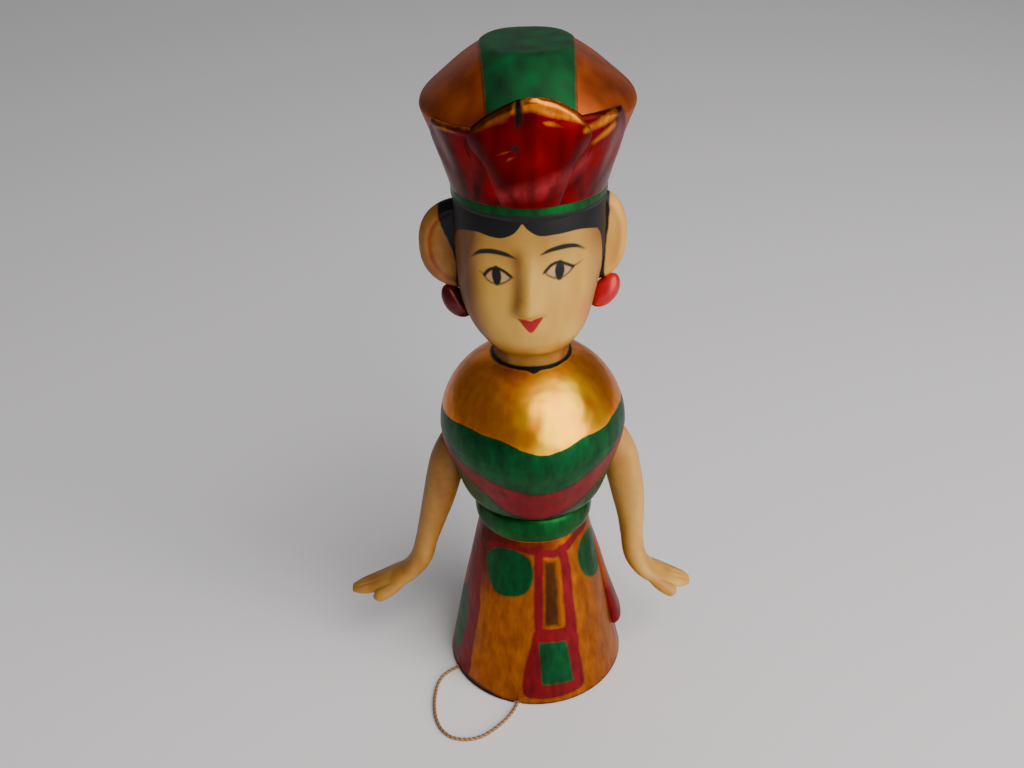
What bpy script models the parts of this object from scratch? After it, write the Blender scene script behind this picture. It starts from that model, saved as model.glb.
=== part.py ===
"""A small carved and painted wooden girl: one turned and carved block, two fitted arms, a pull cord.

The figure stands on the flat underside of its skirt and faces -Y, with +X at the viewer's right.
Lengths are in metres, and the origin is the middle of the underside.
"""

import math

import bmesh
import bpy
import numpy as np
from mathutils import Matrix

# Heights above the underside
FIGURE_HEIGHT = 0.170
CROWN_TIP_HEIGHT = 0.1648
RIM_HEIGHT = 0.1573
BAND_FOOT_HEIGHT = 0.1372
CHIN_HEIGHT = 0.1013
BUST_HEIGHT = 0.0770
BUST_FOOT_HEIGHT = 0.0553
ROLL_FOOT_HEIGHT = 0.0483

# Half widths of the turned body, the head and the hat
HEM_RADIUS = 0.0238
SKIRT_TOP_RADIUS = 0.0139
ROLL_RADIUS = 0.0152
BUST_RADIUS = 0.0230
DOME_RISE = 0.0212
NECK_RADIUS = 0.0090
HEAD_HALF_WIDTH = 0.0171
RIM_RADIUS = 0.0230
ROOF_RADIUS = 0.0096

# Hat band, strap over the hat, and the petals of the crown
BAND_DEPTH = 0.0034
BAND_PROUD = 0.0003
STRAP_WIDTH = 0.0190
STRAP_PROUD = 0.0006
SIDE_PETAL_PROUD = 0.0008
MIDDLE_PETAL_PROUD = 0.0015
PETAL_THICKNESS = 0.0018
RIGHT_PETAL_TOP = 0.1580
LEFT_PETAL_TOP = 0.1602

# Nose, ears and ear drops
NOSE_LENGTH = 0.0125
NOSE_PROUD = 0.0032
EAR_HEIGHT = 0.0225
EAR_THICKNESS = 0.0060
RIGHT_EAR_REACH = 0.0076
LEFT_EAR_REACH = 0.0048
EAR_DROP_SIZE = 0.0084
FACE_TILT = math.radians(3.5)

# Loose end of the side sash, which stands off the skirt
FLAP_FOOT_HEIGHT = 0.0105
FLAP_WIDTH = 0.0100
FLAP_PROUD = 0.0025
FLAP_ANGLE = math.radians(92)

# Arms
SHOULDER_HEIGHT = 0.0715
RIGHT_ARM_REACH = 0.0505
LEFT_ARM_REACH = 0.0425
UPPER_ARM_THICKNESS = 0.0091
WRIST_THICKNESS = 0.0060
HAND_WIDTH = 0.0090
HAND_THICKNESS = 0.0046
SEAT_GAP = 0.0004

# Pull cord, the two holes that it rises into, and the nicks that let it out under the hem
CORD_DIAMETER = 0.0009
CORD_CLEARANCE = 0.00035
HOLE_DIAMETER = 0.0036
HOLE_DEPTH = 0.0080
CORD_ROUTE = [
    (-0.0150, -0.0062, 0.0060), (-0.0150, -0.0062, 0.0044), (-0.01504, -0.00623, 0.0026),
    (-0.0153, -0.0064, 0.00155), (-0.01595, -0.00676, 0.00085), (-0.0170, -0.0074, 0.00055),
    (-0.0189, -0.0085, 0.00055), (-0.0207, -0.0095, 0.00055), (-0.0224, -0.0105, 0.00055),
    (-0.0243, -0.0119, 0.00055), (-0.0260, -0.0141, 0.00055), (-0.0271, -0.0176, 0.00055),
    (-0.0274, -0.0223, 0.00055), (-0.0270, -0.0266, 0.00055), (-0.0260, -0.0301, 0.00055),
    (-0.0245, -0.0327, 0.00055), (-0.0224, -0.0346, 0.00055), (-0.0200, -0.0354, 0.00055),
    (-0.0173, -0.0355, 0.00055), (-0.0146, -0.0347, 0.00055), (-0.0125, -0.0334, 0.00055),
    (-0.0106, -0.0317, 0.00055), (-0.0087, -0.0297, 0.00055), (-0.0071, -0.0275, 0.00055),
    (-0.0059, -0.0254, 0.00055), (-0.0050, -0.0232, 0.00055), (-0.0045, -0.0213, 0.00055),
    (-0.0041, -0.0196, 0.00055), (-0.0036, -0.0177, 0.00055), (-0.00328, -0.01656, 0.00085),
    (-0.0031, -0.0158, 0.00155), (-0.00301, -0.01555, 0.0026), (-0.0030, -0.0155, 0.0044),
    (-0.0030, -0.0155, 0.0060),
]
SIDE_HEM_POINT = CORD_ROUTE[8]
FRONT_HEM_POINT = CORD_ROUTE[-9]

# Fineness of the solids
TURN_STEPS = 44
HEAD_COLUMNS = 40
HAT_COLUMNS = 40
ARC_POINTS = 8
LIMB_SIDES = 12
CORD_POINTS = 56

WOOD = (0.42, 0.16, 0.04)
SKIN = (0.62, 0.47, 0.24)
STRING = (0.33, 0.22, 0.12)


def collection(name):
    """A new collection under the scene."""
    group = bpy.data.collections.new(name)
    bpy.context.scene.collection.children.link(group)
    return group


def material(name, colour, roughness, metallic):
    """A Principled material with one colour."""
    paint = bpy.data.materials.new(name)
    paint.use_nodes = True
    shader = paint.node_tree.nodes["Principled BSDF"]
    shader.inputs["Base Color"].default_value = (*colour, 1.0)
    shader.inputs["Roughness"].default_value = roughness
    shader.inputs["Metallic"].default_value = metallic
    paint.diffuse_color = (*colour, 1.0)
    return paint


def as_tool(thing):
    """Mark an object as a shape that only joins or cuts another."""
    thing.hide_render = True
    thing.display_type = "WIRE"
    return thing


def between(low, high, share):
    """The value a share of the way from low to high."""
    return low + (high - low) * share


def smooth_through(points, count):
    """Count points on a smooth curve that runs through the given ones."""
    knots = np.array(points, dtype=float)
    padded = np.vstack([2 * knots[0] - knots[1], knots, 2 * knots[-1] - knots[-2]])
    place = np.linspace(0, len(knots) - 1, count)
    left = np.minimum(place.astype(int), len(knots) - 2)
    step = (place - left)[:, None]
    before, start, end, after = padded[left], padded[left + 1], padded[left + 2], padded[left + 3]
    slope = (end - before) * step
    bend = (2 * before - 5 * start + 4 * end - after) * step ** 2
    twist = (3 * start - before - 3 * end + after) * step ** 3
    return 0.5 * (2 * start + slope + bend + twist)


def place_shape(name, shape, group):
    """Turn an edited shape into an object of its own, in a collection."""
    mesh = bpy.data.meshes.new(name)
    shape.to_mesh(mesh)
    shape.free()
    thing = bpy.data.objects.new(name, mesh)
    group.objects.link(thing)
    return thing


def loft(name, rings, group):
    """Skin closed rings of equal even count, in order, and close both ends with strips across."""
    levels = len(rings)
    sides = len(rings[0])
    points = [point for ring in rings for point in ring]
    last_ring = (levels - 1) * sides
    faces = []
    for side in range(sides):
        following = (side + 1) % sides
        for level in range(levels - 1):
            row = level * sides
            faces.append((row + side, row + following, row + sides + following, row + sides + side))
    for side in range(sides // 2 - 1):
        far = sides - 1 - side
        faces.append((side + 1, side, far, far - 1))
        faces.append((last_ring + side, last_ring + side + 1, last_ring + far - 1, last_ring + far))
    shape = bmesh.new()
    corners = [shape.verts.new(point) for point in points]
    for face in faces:
        shape.faces.new([corners[i] for i in face])
    bmesh.ops.recalc_face_normals(shape, faces=shape.faces)
    return place_shape(name, shape, group)


def turned(name, profile, group):
    """Turn a profile of (radius, height) points, given from the top down its outer side."""
    mesh = bpy.data.meshes.new(name)
    points = [(radius, 0.0, height) for radius, height in profile]
    mesh.from_pydata(points, [(i, i + 1) for i in range(len(points) - 1)], [])
    thing = bpy.data.objects.new(name, mesh)
    group.objects.link(thing)
    screw = thing.modifiers.new("turn", "SCREW")
    screw.axis = "Z"
    screw.steps = TURN_STEPS
    screw.render_steps = TURN_STEPS
    screw.use_merge_vertices = True
    screw.merge_threshold = 0.00001
    return thing


def combine(thing, other, operation):
    """Join, cut or keep the common part of two shapes with an exact Boolean."""
    step = thing.modifiers.new(operation.lower() + " " + other.name, "BOOLEAN")
    step.operation = operation
    step.solver = "EXACT"
    step.object = other


def skirt_radius(height):
    """The skirt widens almost evenly from the waist and stands up a little at the hem."""
    share = 1 - height / ROLL_FOOT_HEIGHT
    return between(SKIRT_TOP_RADIUS, HEM_RADIUS, share * (1.1 - 0.1 * share))


def body_profile(offset):
    """Dome, tapering underside of the bust, waist roll and skirt, all pushed out by an offset."""
    dome = []
    for angle in range(0, 90, 10):
        radius = (BUST_RADIUS + offset) * math.sin(math.radians(angle))
        dome.append((radius, BUST_HEIGHT + (DOME_RISE + offset) * math.cos(math.radians(angle))))
    fall = BUST_HEIGHT - BUST_FOOT_HEIGHT
    taper = smooth_through(
        [
            (BUST_RADIUS, BUST_HEIGHT),
            (BUST_RADIUS * 0.975, BUST_HEIGHT - 0.17 * fall),
            (between(BUST_RADIUS, SKIRT_TOP_RADIUS, 0.35), BUST_HEIGHT - 0.56 * fall),
            (between(BUST_RADIUS, SKIRT_TOP_RADIUS, 0.58), BUST_HEIGHT - 0.84 * fall),
            (SKIRT_TOP_RADIUS * 1.01, BUST_FOOT_HEIGHT),
        ],
        9,
    )
    roll = []
    for angle in (30, 60, 90, 120, 150):
        radius = between(SKIRT_TOP_RADIUS, ROLL_RADIUS, math.sin(math.radians(angle)))
        share = 0.5 + 0.5 * math.cos(math.radians(angle))
        roll.append((radius, between(ROLL_FOOT_HEIGHT, BUST_FOOT_HEIGHT, share)))
    skirt = []
    for share in (1.0, 0.8, 0.6, 0.4, 0.22, 0.08, 0.015):
        skirt.append((skirt_radius(ROLL_FOOT_HEIGHT * share), ROLL_FOOT_HEIGHT * share))
    outline = [tuple(point) for point in taper] + roll + skirt
    foot = [(HEM_RADIUS * 0.97 + offset, 0.0), (0.0, 0.0)]
    return dome + [(radius + offset, height) for radius, height in outline] + foot


def oval_reach(angle, half_width, depth, squareness):
    """Distance from the middle of an oval to its edge, at an angle from straight ahead."""
    sideways = np.abs(np.sin(angle) / half_width) ** squareness
    forward = np.abs(np.cos(angle) / depth) ** squareness
    return (sideways + forward) ** (-1 / squareness)


def level_ring(angle, reach, height):
    """Points at one height, at angles from straight ahead (-Y) towards +X."""
    return np.stack([reach * np.sin(angle), -reach * np.cos(angle), np.full(len(angle), height)], axis=1)


def face_relief(across, height):
    """How far the face stands out or lies in: a wedge of nose, full lips and shallow eyes."""
    skull = BAND_FOOT_HEIGHT - CHIN_HEIGHT
    height = height - across * math.tan(FACE_TILT)
    tip = CHIN_HEIGHT + 0.41 * skull
    along = np.clip((tip + NOSE_LENGTH - height) / NOSE_LENGTH, 0, 1)
    under = np.clip(1 - (tip - height) / (0.09 * skull), 0, 1)
    nose_half = between(0.10, 0.17, along) * HEAD_HALF_WIDTH
    nose = NOSE_PROUD * along * under * np.exp(-((across / nose_half) ** 2))
    lips_up = (height - CHIN_HEIGHT - 0.26 * skull) / (0.07 * skull)
    lips = 0.03 * HEAD_HALF_WIDTH * np.exp(-(lips_up ** 2) - (across / (0.2 * HEAD_HALF_WIDTH)) ** 2)
    eye_up = (height - CHIN_HEIGHT - 0.65 * skull) / (0.12 * skull)
    eye_across = (np.abs(across) - 0.40 * HEAD_HALF_WIDTH) / (0.24 * HEAD_HALF_WIDTH)
    eyes = 0.045 * HEAD_HALF_WIDTH * np.exp(-(eye_up ** 2) - eye_across ** 2)
    return nose + lips - eyes


def make_head(group):
    """Neck and head, from inside the bust up into the hat, with closer columns in front."""
    wide = HEAD_HALF_WIDTH
    skull = BAND_FOOT_HEIGHT - CHIN_HEIGHT
    stations = [
        (BUST_HEIGHT + 0.75 * DOME_RISE, NECK_RADIUS, NECK_RADIUS, NECK_RADIUS),
        (CHIN_HEIGHT - 0.11 * skull, NECK_RADIUS, NECK_RADIUS, 1.02 * NECK_RADIUS),
        (CHIN_HEIGHT - 0.04 * skull, 1.06 * NECK_RADIUS, 1.06 * NECK_RADIUS, 1.12 * NECK_RADIUS),
        (CHIN_HEIGHT + 0.04 * skull, 0.70 * wide, 0.76 * wide, 0.74 * wide),
        (CHIN_HEIGHT + 0.15 * skull, 0.87 * wide, 0.91 * wide, 0.90 * wide),
        (CHIN_HEIGHT + 0.30 * skull, 0.96 * wide, 0.97 * wide, 1.00 * wide),
        (CHIN_HEIGHT + 0.50 * skull, 0.99 * wide, 0.99 * wide, 1.05 * wide),
        (CHIN_HEIGHT + 0.75 * skull, 1.00 * wide, 1.01 * wide, 1.06 * wide),
        (CHIN_HEIGHT + 1.00 * skull, 0.985 * wide, 1.01 * wide, 1.04 * wide),
        (BAND_FOOT_HEIGHT + 1.5 * BAND_DEPTH, 0.93 * wide, 0.95 * wide, 0.98 * wide),
    ]
    turn = np.linspace(-1, 1, HEAD_COLUMNS, endpoint=False)
    angle = math.pi * turn * (0.55 + 0.45 * turn ** 2)
    rings = []
    for height, half_width, front, back in smooth_through(stations, 24):
        depth = np.where(np.cos(angle) > 0, front, back)
        ring = level_ring(angle, oval_reach(angle, half_width, depth, 2.2), height)
        ring[:, 1] -= np.where(ring[:, 1] < 0, face_relief(ring[:, 0], ring[:, 2]), 0)
        rings.append(ring)
    return loft("head", rings, group)


def hat_reach(angle, outward, offset, squareness):
    """Edge of the hat where it has spread by a share of the way from the head to its rim."""
    half_width = between(HEAD_HALF_WIDTH, RIM_RADIUS, outward) + offset
    depth = between(1.03 * HEAD_HALF_WIDTH, 0.98 * RIM_RADIUS, outward) + offset
    return oval_reach(angle, half_width, depth, squareness)


def flare(share):
    """How far the hat has spread at a share of its height from band to rim."""
    return share * (0.92 + 0.08 * share)


def hat_rings(offset):
    """Rings of the hat, which flares up to its rim and closes over a sloping roof to a small flat top."""
    angle = np.linspace(-math.pi, math.pi, HAT_COLUMNS, endpoint=False)
    band_top = BAND_FOOT_HEIGHT + BAND_DEPTH
    roof_in = (RIM_RADIUS - ROOF_RADIUS) / (RIM_RADIUS - HEAD_HALF_WIDTH)
    rise = FIGURE_HEIGHT - STRAP_PROUD - RIM_HEIGHT
    rings = []
    for share in (0.08, 0.38, 0.7, 0.93):
        reach = hat_reach(angle, flare(share), offset, 2.1)
        rings.append(level_ring(angle, reach, between(band_top, RIM_HEIGHT, share)))
    for share, inward, squareness in (
        (0.06, 0.0, 2.1), (0.22, 0.08, 2.1), (0.48, 0.35, 2.2), (0.75, 0.66, 2.4), (0.96, 0.97, 2.6),
        (1.0, 1.08, 2.6),
    ):
        reach = hat_reach(angle, 1 - inward * roof_in, offset, squareness)
        rings.append(level_ring(angle, reach, RIM_HEIGHT + share * rise + offset * share))
    return rings


def make_hat(group):
    """Hat with the raised rim between it and the hair."""
    angle = np.linspace(-math.pi, math.pi, HAT_COLUMNS, endpoint=False)
    rings = []
    for share, offset in ((-0.6, -0.0010), (0.0, 0.0), (0.2, BAND_PROUD), (0.8, BAND_PROUD)):
        height = between(BAND_FOOT_HEIGHT, BAND_FOOT_HEIGHT + BAND_DEPTH, share)
        rings.append(level_ring(angle, hat_reach(angle, 0.0, offset, 2.1), height))
    return loft("hat", rings + hat_rings(0.0), group)


def make_cutter(name, matrix, kind, group):
    """Box or round drill of unit size, placed by a matrix."""
    shape = bmesh.new()
    if kind == "box":
        bmesh.ops.create_cube(shape, size=1.0, matrix=matrix)
    else:
        bmesh.ops.create_cone(
            shape, cap_ends=True, segments=14, radius1=0.5, radius2=0.5, depth=1.0, matrix=matrix
        )
    return as_tool(place_shape(name, shape, group))


def make_strap(group):
    """Flat strap that lies over the hat from front to back and stands a little proud of it."""
    strap = loft("strap", hat_rings(STRAP_PROUD), group)
    foot = between(BAND_FOOT_HEIGHT, RIM_HEIGHT, 0.4)
    middle = Matrix.Translation((0.0, 0.0, FIGURE_HEIGHT))
    size = Matrix.Diagonal((STRAP_WIDTH, 4 * RIM_RADIUS, 2 * (FIGURE_HEIGHT - foot), 1.0))
    combine(strap, make_cutter("strap_width", middle @ size, "box", group), "INTERSECT")
    return strap


def make_petal(name, edges, top, proud, group):
    """Crown petal on the front of the hat, from rings that run out along its face and back behind it.

    Each edge entry is a share of the petal's height and its left and right edges in degrees.
    """
    foot = BAND_FOOT_HEIGHT + 0.9 * BAND_DEPTH
    rings = []
    for share, left, right in smooth_through(edges, 8):
        height = between(foot, top, share)
        angle = np.radians(np.linspace(left, right, ARC_POINTS))
        spread = min((height - foot) / (RIM_HEIGHT - foot), 1.0)
        reach = hat_reach(angle, flare(spread), 0.0, 2.1)
        outer = level_ring(angle, reach + proud, height)
        inner = level_ring(angle, reach + proud - PETAL_THICKNESS * (1.6 - 0.6 * share), height)
        rings.append(np.vstack([outer, inner[::-1]]))
    return loft(name, rings, group)


def make_ear(name, side, reach, group):
    """Large flat ear that stands off the head, hollowed a little in front."""
    inside = 0.2 * HEAD_HALF_WIDTH
    middle = HEAD_HALF_WIDTH - inside
    height = between(CHIN_HEIGHT, BAND_FOOT_HEIGHT, 0.66) + side * middle * math.tan(FACE_TILT)
    ear = bmesh.new()
    bmesh.ops.create_uvsphere(ear, u_segments=14, v_segments=9, radius=1.0)
    for point in ear.verts:
        across, deep, up = point.co
        hollow = 0.55 * math.exp(-((across - 0.45) ** 2 + up ** 2) / 0.25) if deep < 0 else 0.0
        point.co = (
            side * (middle + across * (reach + inside)),
            (deep + hollow) * EAR_THICKNESS / 2 + 0.05 * HEAD_HALF_WIDTH,
            height + up * EAR_HEIGHT / 2,
        )
    if side < 0:
        bmesh.ops.reverse_faces(ear, faces=ear.faces)
    return place_shape(name, ear, group)


def make_ear_drop(name, side, group):
    """Round flat drop that hangs below an ear, against the jaw."""
    across = side * 1.05 * HEAD_HALF_WIDTH
    height = between(CHIN_HEIGHT, BAND_FOOT_HEIGHT, 0.66) - 0.5 * EAR_HEIGHT - 0.33 * EAR_DROP_SIZE
    shape = Matrix.Diagonal((0.44 * EAR_DROP_SIZE, 0.34 * EAR_DROP_SIZE, 0.5 * EAR_DROP_SIZE, 1.0))
    place = Matrix.Translation((across, 0.0, height + across * math.tan(FACE_TILT)))
    drop = bmesh.new()
    bmesh.ops.create_uvsphere(drop, u_segments=12, v_segments=8, radius=1.0, matrix=place @ shape)
    return place_shape(name, drop, group)


def make_flap(group):
    """End of the side sash: it leaves the skirt slowly and ends in a thick rounded edge."""
    rings = []
    for share, proud, width in (
        (0.0, -0.1, 0.5), (0.25, 0.22, 0.6), (0.55, 0.45, 0.75), (0.82, 0.85, 0.95), (0.95, 1.0, 1.0),
        (1.0, 0.6, 0.9),
    ):
        height = between(0.9 * ROLL_FOOT_HEIGHT, FLAP_FOOT_HEIGHT, share)
        radius = skirt_radius(height)
        half = 0.5 * width * FLAP_WIDTH / radius
        angle = FLAP_ANGLE + half * np.array([-1.0, -0.75, 0.0, 0.75, 1.0])
        rise = proud * FLAP_PROUD * np.array([0.3, 0.9, 1.0, 0.9, 0.3])
        outer = level_ring(angle, radius + rise, height)
        inner = level_ring(angle, np.full(5, radius - 0.0015), height)
        rings.append(np.vstack([outer, inner[::-1]]))
    return loft("flap", rings, group)


def limb_rings(line, half_thick, half_wide):
    """Oval rings square to a line that lies in the X-Z plane, flat across Y where they widen."""
    forward = np.gradient(line, axis=0)
    forward /= np.linalg.norm(forward, axis=1)[:, None]
    normal = np.stack([-forward[:, 2], np.zeros(len(line)), forward[:, 0]], axis=1)
    turn = np.linspace(0, 2 * math.pi, LIMB_SIDES, endpoint=False)
    rings = []
    for place, thick, wide, up in zip(line, half_thick, half_wide, normal):
        rings.append(place + np.outer(np.cos(turn) * thick, up) + np.outer(np.sin(turn) * wide, (0, 1, 0)))
    return rings


def make_arm(name, side, reach, line, parts, tools):
    """Arm that leans out from under the bust, bends at the wrist and spreads into a flat hand.

    Each line entry is a share of the way out to the finger tips and a share of the shoulder's height.
    """
    root = 0.8 * BUST_RADIUS
    places = []
    for outward, up in line:
        places.append((side * between(root, reach, outward), 0.0, SHOULDER_HEIGHT * up))
    upper, wrist = UPPER_ARM_THICKNESS / 2, WRIST_THICKNESS / 2
    thick, wide = HAND_THICKNESS / 2, HAND_WIDTH / 2
    sizes = [
        (0.90 * upper, 0.90 * upper), (0.95 * upper, 0.95 * upper), (upper, 0.98 * upper), (upper, upper),
        (0.92 * upper, 0.92 * upper), (between(wrist, upper, 0.35), between(wrist, upper, 0.4)),
        (wrist, wrist), (0.98 * wrist, 1.05 * wrist), (1.15 * thick, 0.86 * wide), (thick, wide),
        (0.80 * thick, 0.85 * wide), (0.64 * thick, 0.66 * wide), (0.36 * thick, 0.36 * wide),
    ]
    course = smooth_through([(*place, *size) for place, size in zip(places, sizes)], 22)
    arm = loft(name, limb_rings(course[:, :3], course[:, 3], course[:, 4]), parts)

    palm, knuckles = np.array(places[8]), np.array(places[10])
    sideways = np.array([0.0, -1.0, 0.0])
    down = np.array([0.0, 0.0, -1.0])
    thumb_line = smooth_through(
        [
            palm + 0.35 * wide * sideways,
            between(palm, knuckles, 0.45) + 0.80 * wide * sideways + 0.5 * thick * down,
            between(palm, knuckles, 0.85) + 1.02 * wide * sideways + 0.6 * thick * down,
            between(palm, knuckles, 1.05) + 1.02 * wide * sideways + 0.6 * thick * down,
        ],
        6,
    )
    thumb_half = 0.8 * thick * np.array([0.7, 0.9, 1.0, 1.0, 0.85, 0.35])
    thumb = loft(name + "_thumb", limb_rings(thumb_line, thumb_half, thumb_half), tools)
    combine(arm, as_tool(thumb), "UNION")
    return arm


def cord_cutters(name, hole, way_out, group):
    """The drilled hole that a cord end rises into, and the nick that lets the cord out under the hem."""
    across, deep = way_out[0] - hole[0], way_out[1] - hole[1]
    heading = math.atan2(deep, across)
    length = math.hypot(across, deep) + 2 * CORD_DIAMETER
    nick_width = CORD_DIAMETER + 2 * CORD_CLEARANCE
    nick_depth = way_out[2] + CORD_DIAMETER / 2 + CORD_CLEARANCE
    middle = (hole[0] + math.cos(heading) * length / 2, hole[1] + math.sin(heading) * length / 2, 0.0)
    nick = (
        Matrix.Translation(middle)
        @ Matrix.Rotation(heading, 4, "Z")
        @ Matrix.Diagonal((length, nick_width, 2 * nick_depth, 1.0))
    )
    size = Matrix.Diagonal((HOLE_DIAMETER, HOLE_DIAMETER, 2 * HOLE_DEPTH, 1.0))
    drill = Matrix.Translation((hole[0], hole[1], 0.0)) @ size
    return [
        make_cutter(name + "_nick", nick, "box", group),
        make_cutter(name + "_hole", drill, "drill", group),
    ]


def make_cord(group):
    """Limp cord laid in a loop, as a round tube along a smooth curve through its route."""
    curve = bpy.data.curves.new("pull_cord", "CURVE")
    curve.dimensions = "3D"
    curve.bevel_depth = CORD_DIAMETER / 2
    curve.bevel_resolution = 2
    curve.use_fill_caps = True
    line = smooth_through(CORD_ROUTE, CORD_POINTS)
    spline = curve.splines.new("POLY")
    spline.points.add(len(line) - 1)
    for point, place in zip(spline.points, line):
        point.co = (*place, 1.0)
    cord = bpy.data.objects.new("pull_cord", curve)
    group.objects.link(cord)
    return cord


def shade(thing, paint):
    """Give an object its material and smooth shading with crisp edges."""
    thing.data.materials.append(paint)
    if thing.type == "MESH":
        thing.data.shade_smooth()
        thing.data.set_sharp_from_angle(angle=math.radians(40))


def main():
    for old in list(bpy.data.objects):
        bpy.data.objects.remove(old, do_unlink=True)
    parts = collection("wooden girl figurine")
    tools = collection("tools")

    figure = turned("figure", body_profile(0.0), parts)
    additions = [
        make_head(tools),
        make_hat(tools),
        make_strap(tools),
        make_petal(
            "left_petal",
            [(0.0, 10, 80), (0.4, 12, 77), (0.75, 14, 67), (1.0, 22, 57)],
            LEFT_PETAL_TOP, SIDE_PETAL_PROUD, tools,
        ),
        make_petal(
            "right_petal",
            [(0.0, -80, -10), (0.4, -77, -12), (0.75, -71, -14), (1.0, -60, -30)],
            RIGHT_PETAL_TOP, SIDE_PETAL_PROUD, tools,
        ),
        make_petal(
            "middle_petal",
            [(0.0, -22, 24), (0.3, -31, 32), (0.58, -36, 38), (0.8, -25, 29), (0.94, -10, 16), (1.0, 0, 5)],
            CROWN_TIP_HEIGHT, MIDDLE_PETAL_PROUD, tools,
        ),
        make_ear("right_ear", -1, RIGHT_EAR_REACH, tools),
        make_ear("left_ear", 1, LEFT_EAR_REACH, tools),
        make_ear_drop("right_ear_drop", -1, tools),
        make_ear_drop("left_ear_drop", 1, tools),
        make_flap(tools),
    ]
    for addition in additions:
        combine(figure, as_tool(addition), "UNION")
    cutters = cord_cutters("side", CORD_ROUTE[0], SIDE_HEM_POINT, tools)
    cutters += cord_cutters("front", CORD_ROUTE[-1], FRONT_HEM_POINT, tools)
    for cutter in cutters:
        combine(figure, cutter, "DIFFERENCE")

    seat = as_tool(turned("seat", body_profile(SEAT_GAP), tools))
    right_arm = make_arm(
        "right_arm", -1, RIGHT_ARM_REACH,
        [
            (-0.12, 1.06), (0.0, 1.0), (0.09, 0.92), (0.14, 0.84), (0.196, 0.74), (0.26, 0.64),
            (0.32, 0.545), (0.38, 0.455), (0.486, 0.39), (0.626, 0.352), (0.78, 0.325), (0.906, 0.306),
            (0.99, 0.297),
        ],
        parts, tools,
    )
    left_arm = make_arm(
        "left_arm", 1, LEFT_ARM_REACH,
        [
            (-0.16, 1.07), (0.02, 1.007), (0.14, 0.93), (0.2, 0.846), (0.26, 0.74), (0.3, 0.643),
            (0.32, 0.55), (0.365, 0.455), (0.48, 0.39), (0.647, 0.356), (0.81, 0.336), (0.917, 0.326),
            (0.99, 0.319),
        ],
        parts, tools,
    )
    for arm in (right_arm, left_arm):
        combine(arm, seat, "DIFFERENCE")
    cord = make_cord(parts)

    shade(figure, material("painted wood", WOOD, 0.35, 0.5))
    shade(right_arm, material("skin paint, right arm", SKIN, 0.4, 0.0))
    shade(left_arm, material("skin paint, left arm", SKIN, 0.4, 0.0))
    shade(cord, material("string", STRING, 0.85, 0.0))


main()
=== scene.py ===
# %% [markdown]
# # A carved and painted wooden girl
#
# The object is a small souvenir figure. Head, hat, bust and skirt are turned and carved from one block of
# wood, two arms are fitted under the bust, and a thin pull cord lies in a loop beside the hem. Everything
# is coated with bright lacquer: metallic gold, red and green on the dress, cream on the skin.
#
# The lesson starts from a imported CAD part, which gives the exact place and size of the four solids. Each
# solid is then replaced by denser surfaces that are worked out with numpy from the same sizes. The figure
# stands on z = 0, faces -Y, and +X is at the viewer's right.

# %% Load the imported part
import math

import bpy
import numpy as np
from mathutils import Matrix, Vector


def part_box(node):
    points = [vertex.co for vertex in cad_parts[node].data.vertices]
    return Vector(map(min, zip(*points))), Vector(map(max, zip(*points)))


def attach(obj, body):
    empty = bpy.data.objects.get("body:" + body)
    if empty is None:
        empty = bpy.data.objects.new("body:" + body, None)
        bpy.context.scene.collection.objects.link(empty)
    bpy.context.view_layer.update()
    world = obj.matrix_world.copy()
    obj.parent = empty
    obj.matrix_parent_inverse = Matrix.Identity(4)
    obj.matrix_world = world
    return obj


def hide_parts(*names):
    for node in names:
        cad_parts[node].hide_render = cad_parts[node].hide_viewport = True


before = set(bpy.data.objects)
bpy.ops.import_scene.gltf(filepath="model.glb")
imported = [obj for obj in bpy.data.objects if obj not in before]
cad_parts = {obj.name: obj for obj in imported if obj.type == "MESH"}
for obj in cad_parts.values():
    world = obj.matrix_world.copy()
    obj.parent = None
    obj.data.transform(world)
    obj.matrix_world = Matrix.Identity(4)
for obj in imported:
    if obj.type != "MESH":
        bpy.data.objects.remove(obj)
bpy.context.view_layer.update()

# %% [markdown]
# ## Camera
#
# The photograph looks down on the figure from close by, so the hat looms and the skirt shrinks. A camera
# could be aimed with a Track To constraint. Here its place, its slope and its small lean are known from the
# way that the turned rings project, so its axes are written out directly. Azimuth 0 looks along +Y.

# %% Camera
PICTURE_WIDTH = 1024
FOCAL_PIXELS = 1100.0
SENSOR_WIDTH = 36.0
CAMERA_PLACE = np.array([0.0, -0.23045, 0.2277])
SLOPE_DOWN = math.radians(31.47)
TURN_ASIDE = math.radians(-1.21)
LEAN = math.radians(-1.46)
NEAREST_SEEN = 0.01


def in_scene(name, data):
    """A new object with this data, linked to the scene."""
    made = bpy.data.objects.new(name, data)
    bpy.context.scene.collection.objects.link(made)
    return made


def placed(place, *axes):
    """The matrix that puts an object at a place, with its own x, y and z along three directions."""
    return Matrix.Translation(list(place)) @ Matrix(np.stack(axes, axis=1).tolist()).to_4x4()


forward = np.array([
    math.sin(TURN_ASIDE) * math.cos(SLOPE_DOWN),
    math.cos(TURN_ASIDE) * math.cos(SLOPE_DOWN),
    -math.sin(SLOPE_DOWN),
])
level = np.array([math.cos(TURN_ASIDE), -math.sin(TURN_ASIDE), 0.0])
upright = np.cross(level, forward)
sideways = level * math.cos(LEAN) + upright * math.sin(LEAN)
upwards = upright * math.cos(LEAN) - level * math.sin(LEAN)

camera_data = bpy.data.cameras.new("camera")
camera_data.sensor_width = SENSOR_WIDTH
camera_data.lens = FOCAL_PIXELS / PICTURE_WIDTH * SENSOR_WIDTH
camera_data.clip_start = NEAREST_SEEN
camera = in_scene("camera", camera_data)
camera.matrix_world = placed(CAMERA_PLACE, sideways, upwards, -forward)
bpy.context.scene.camera = camera
print("Lens", round(camera_data.lens, 2), "mm")

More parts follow.
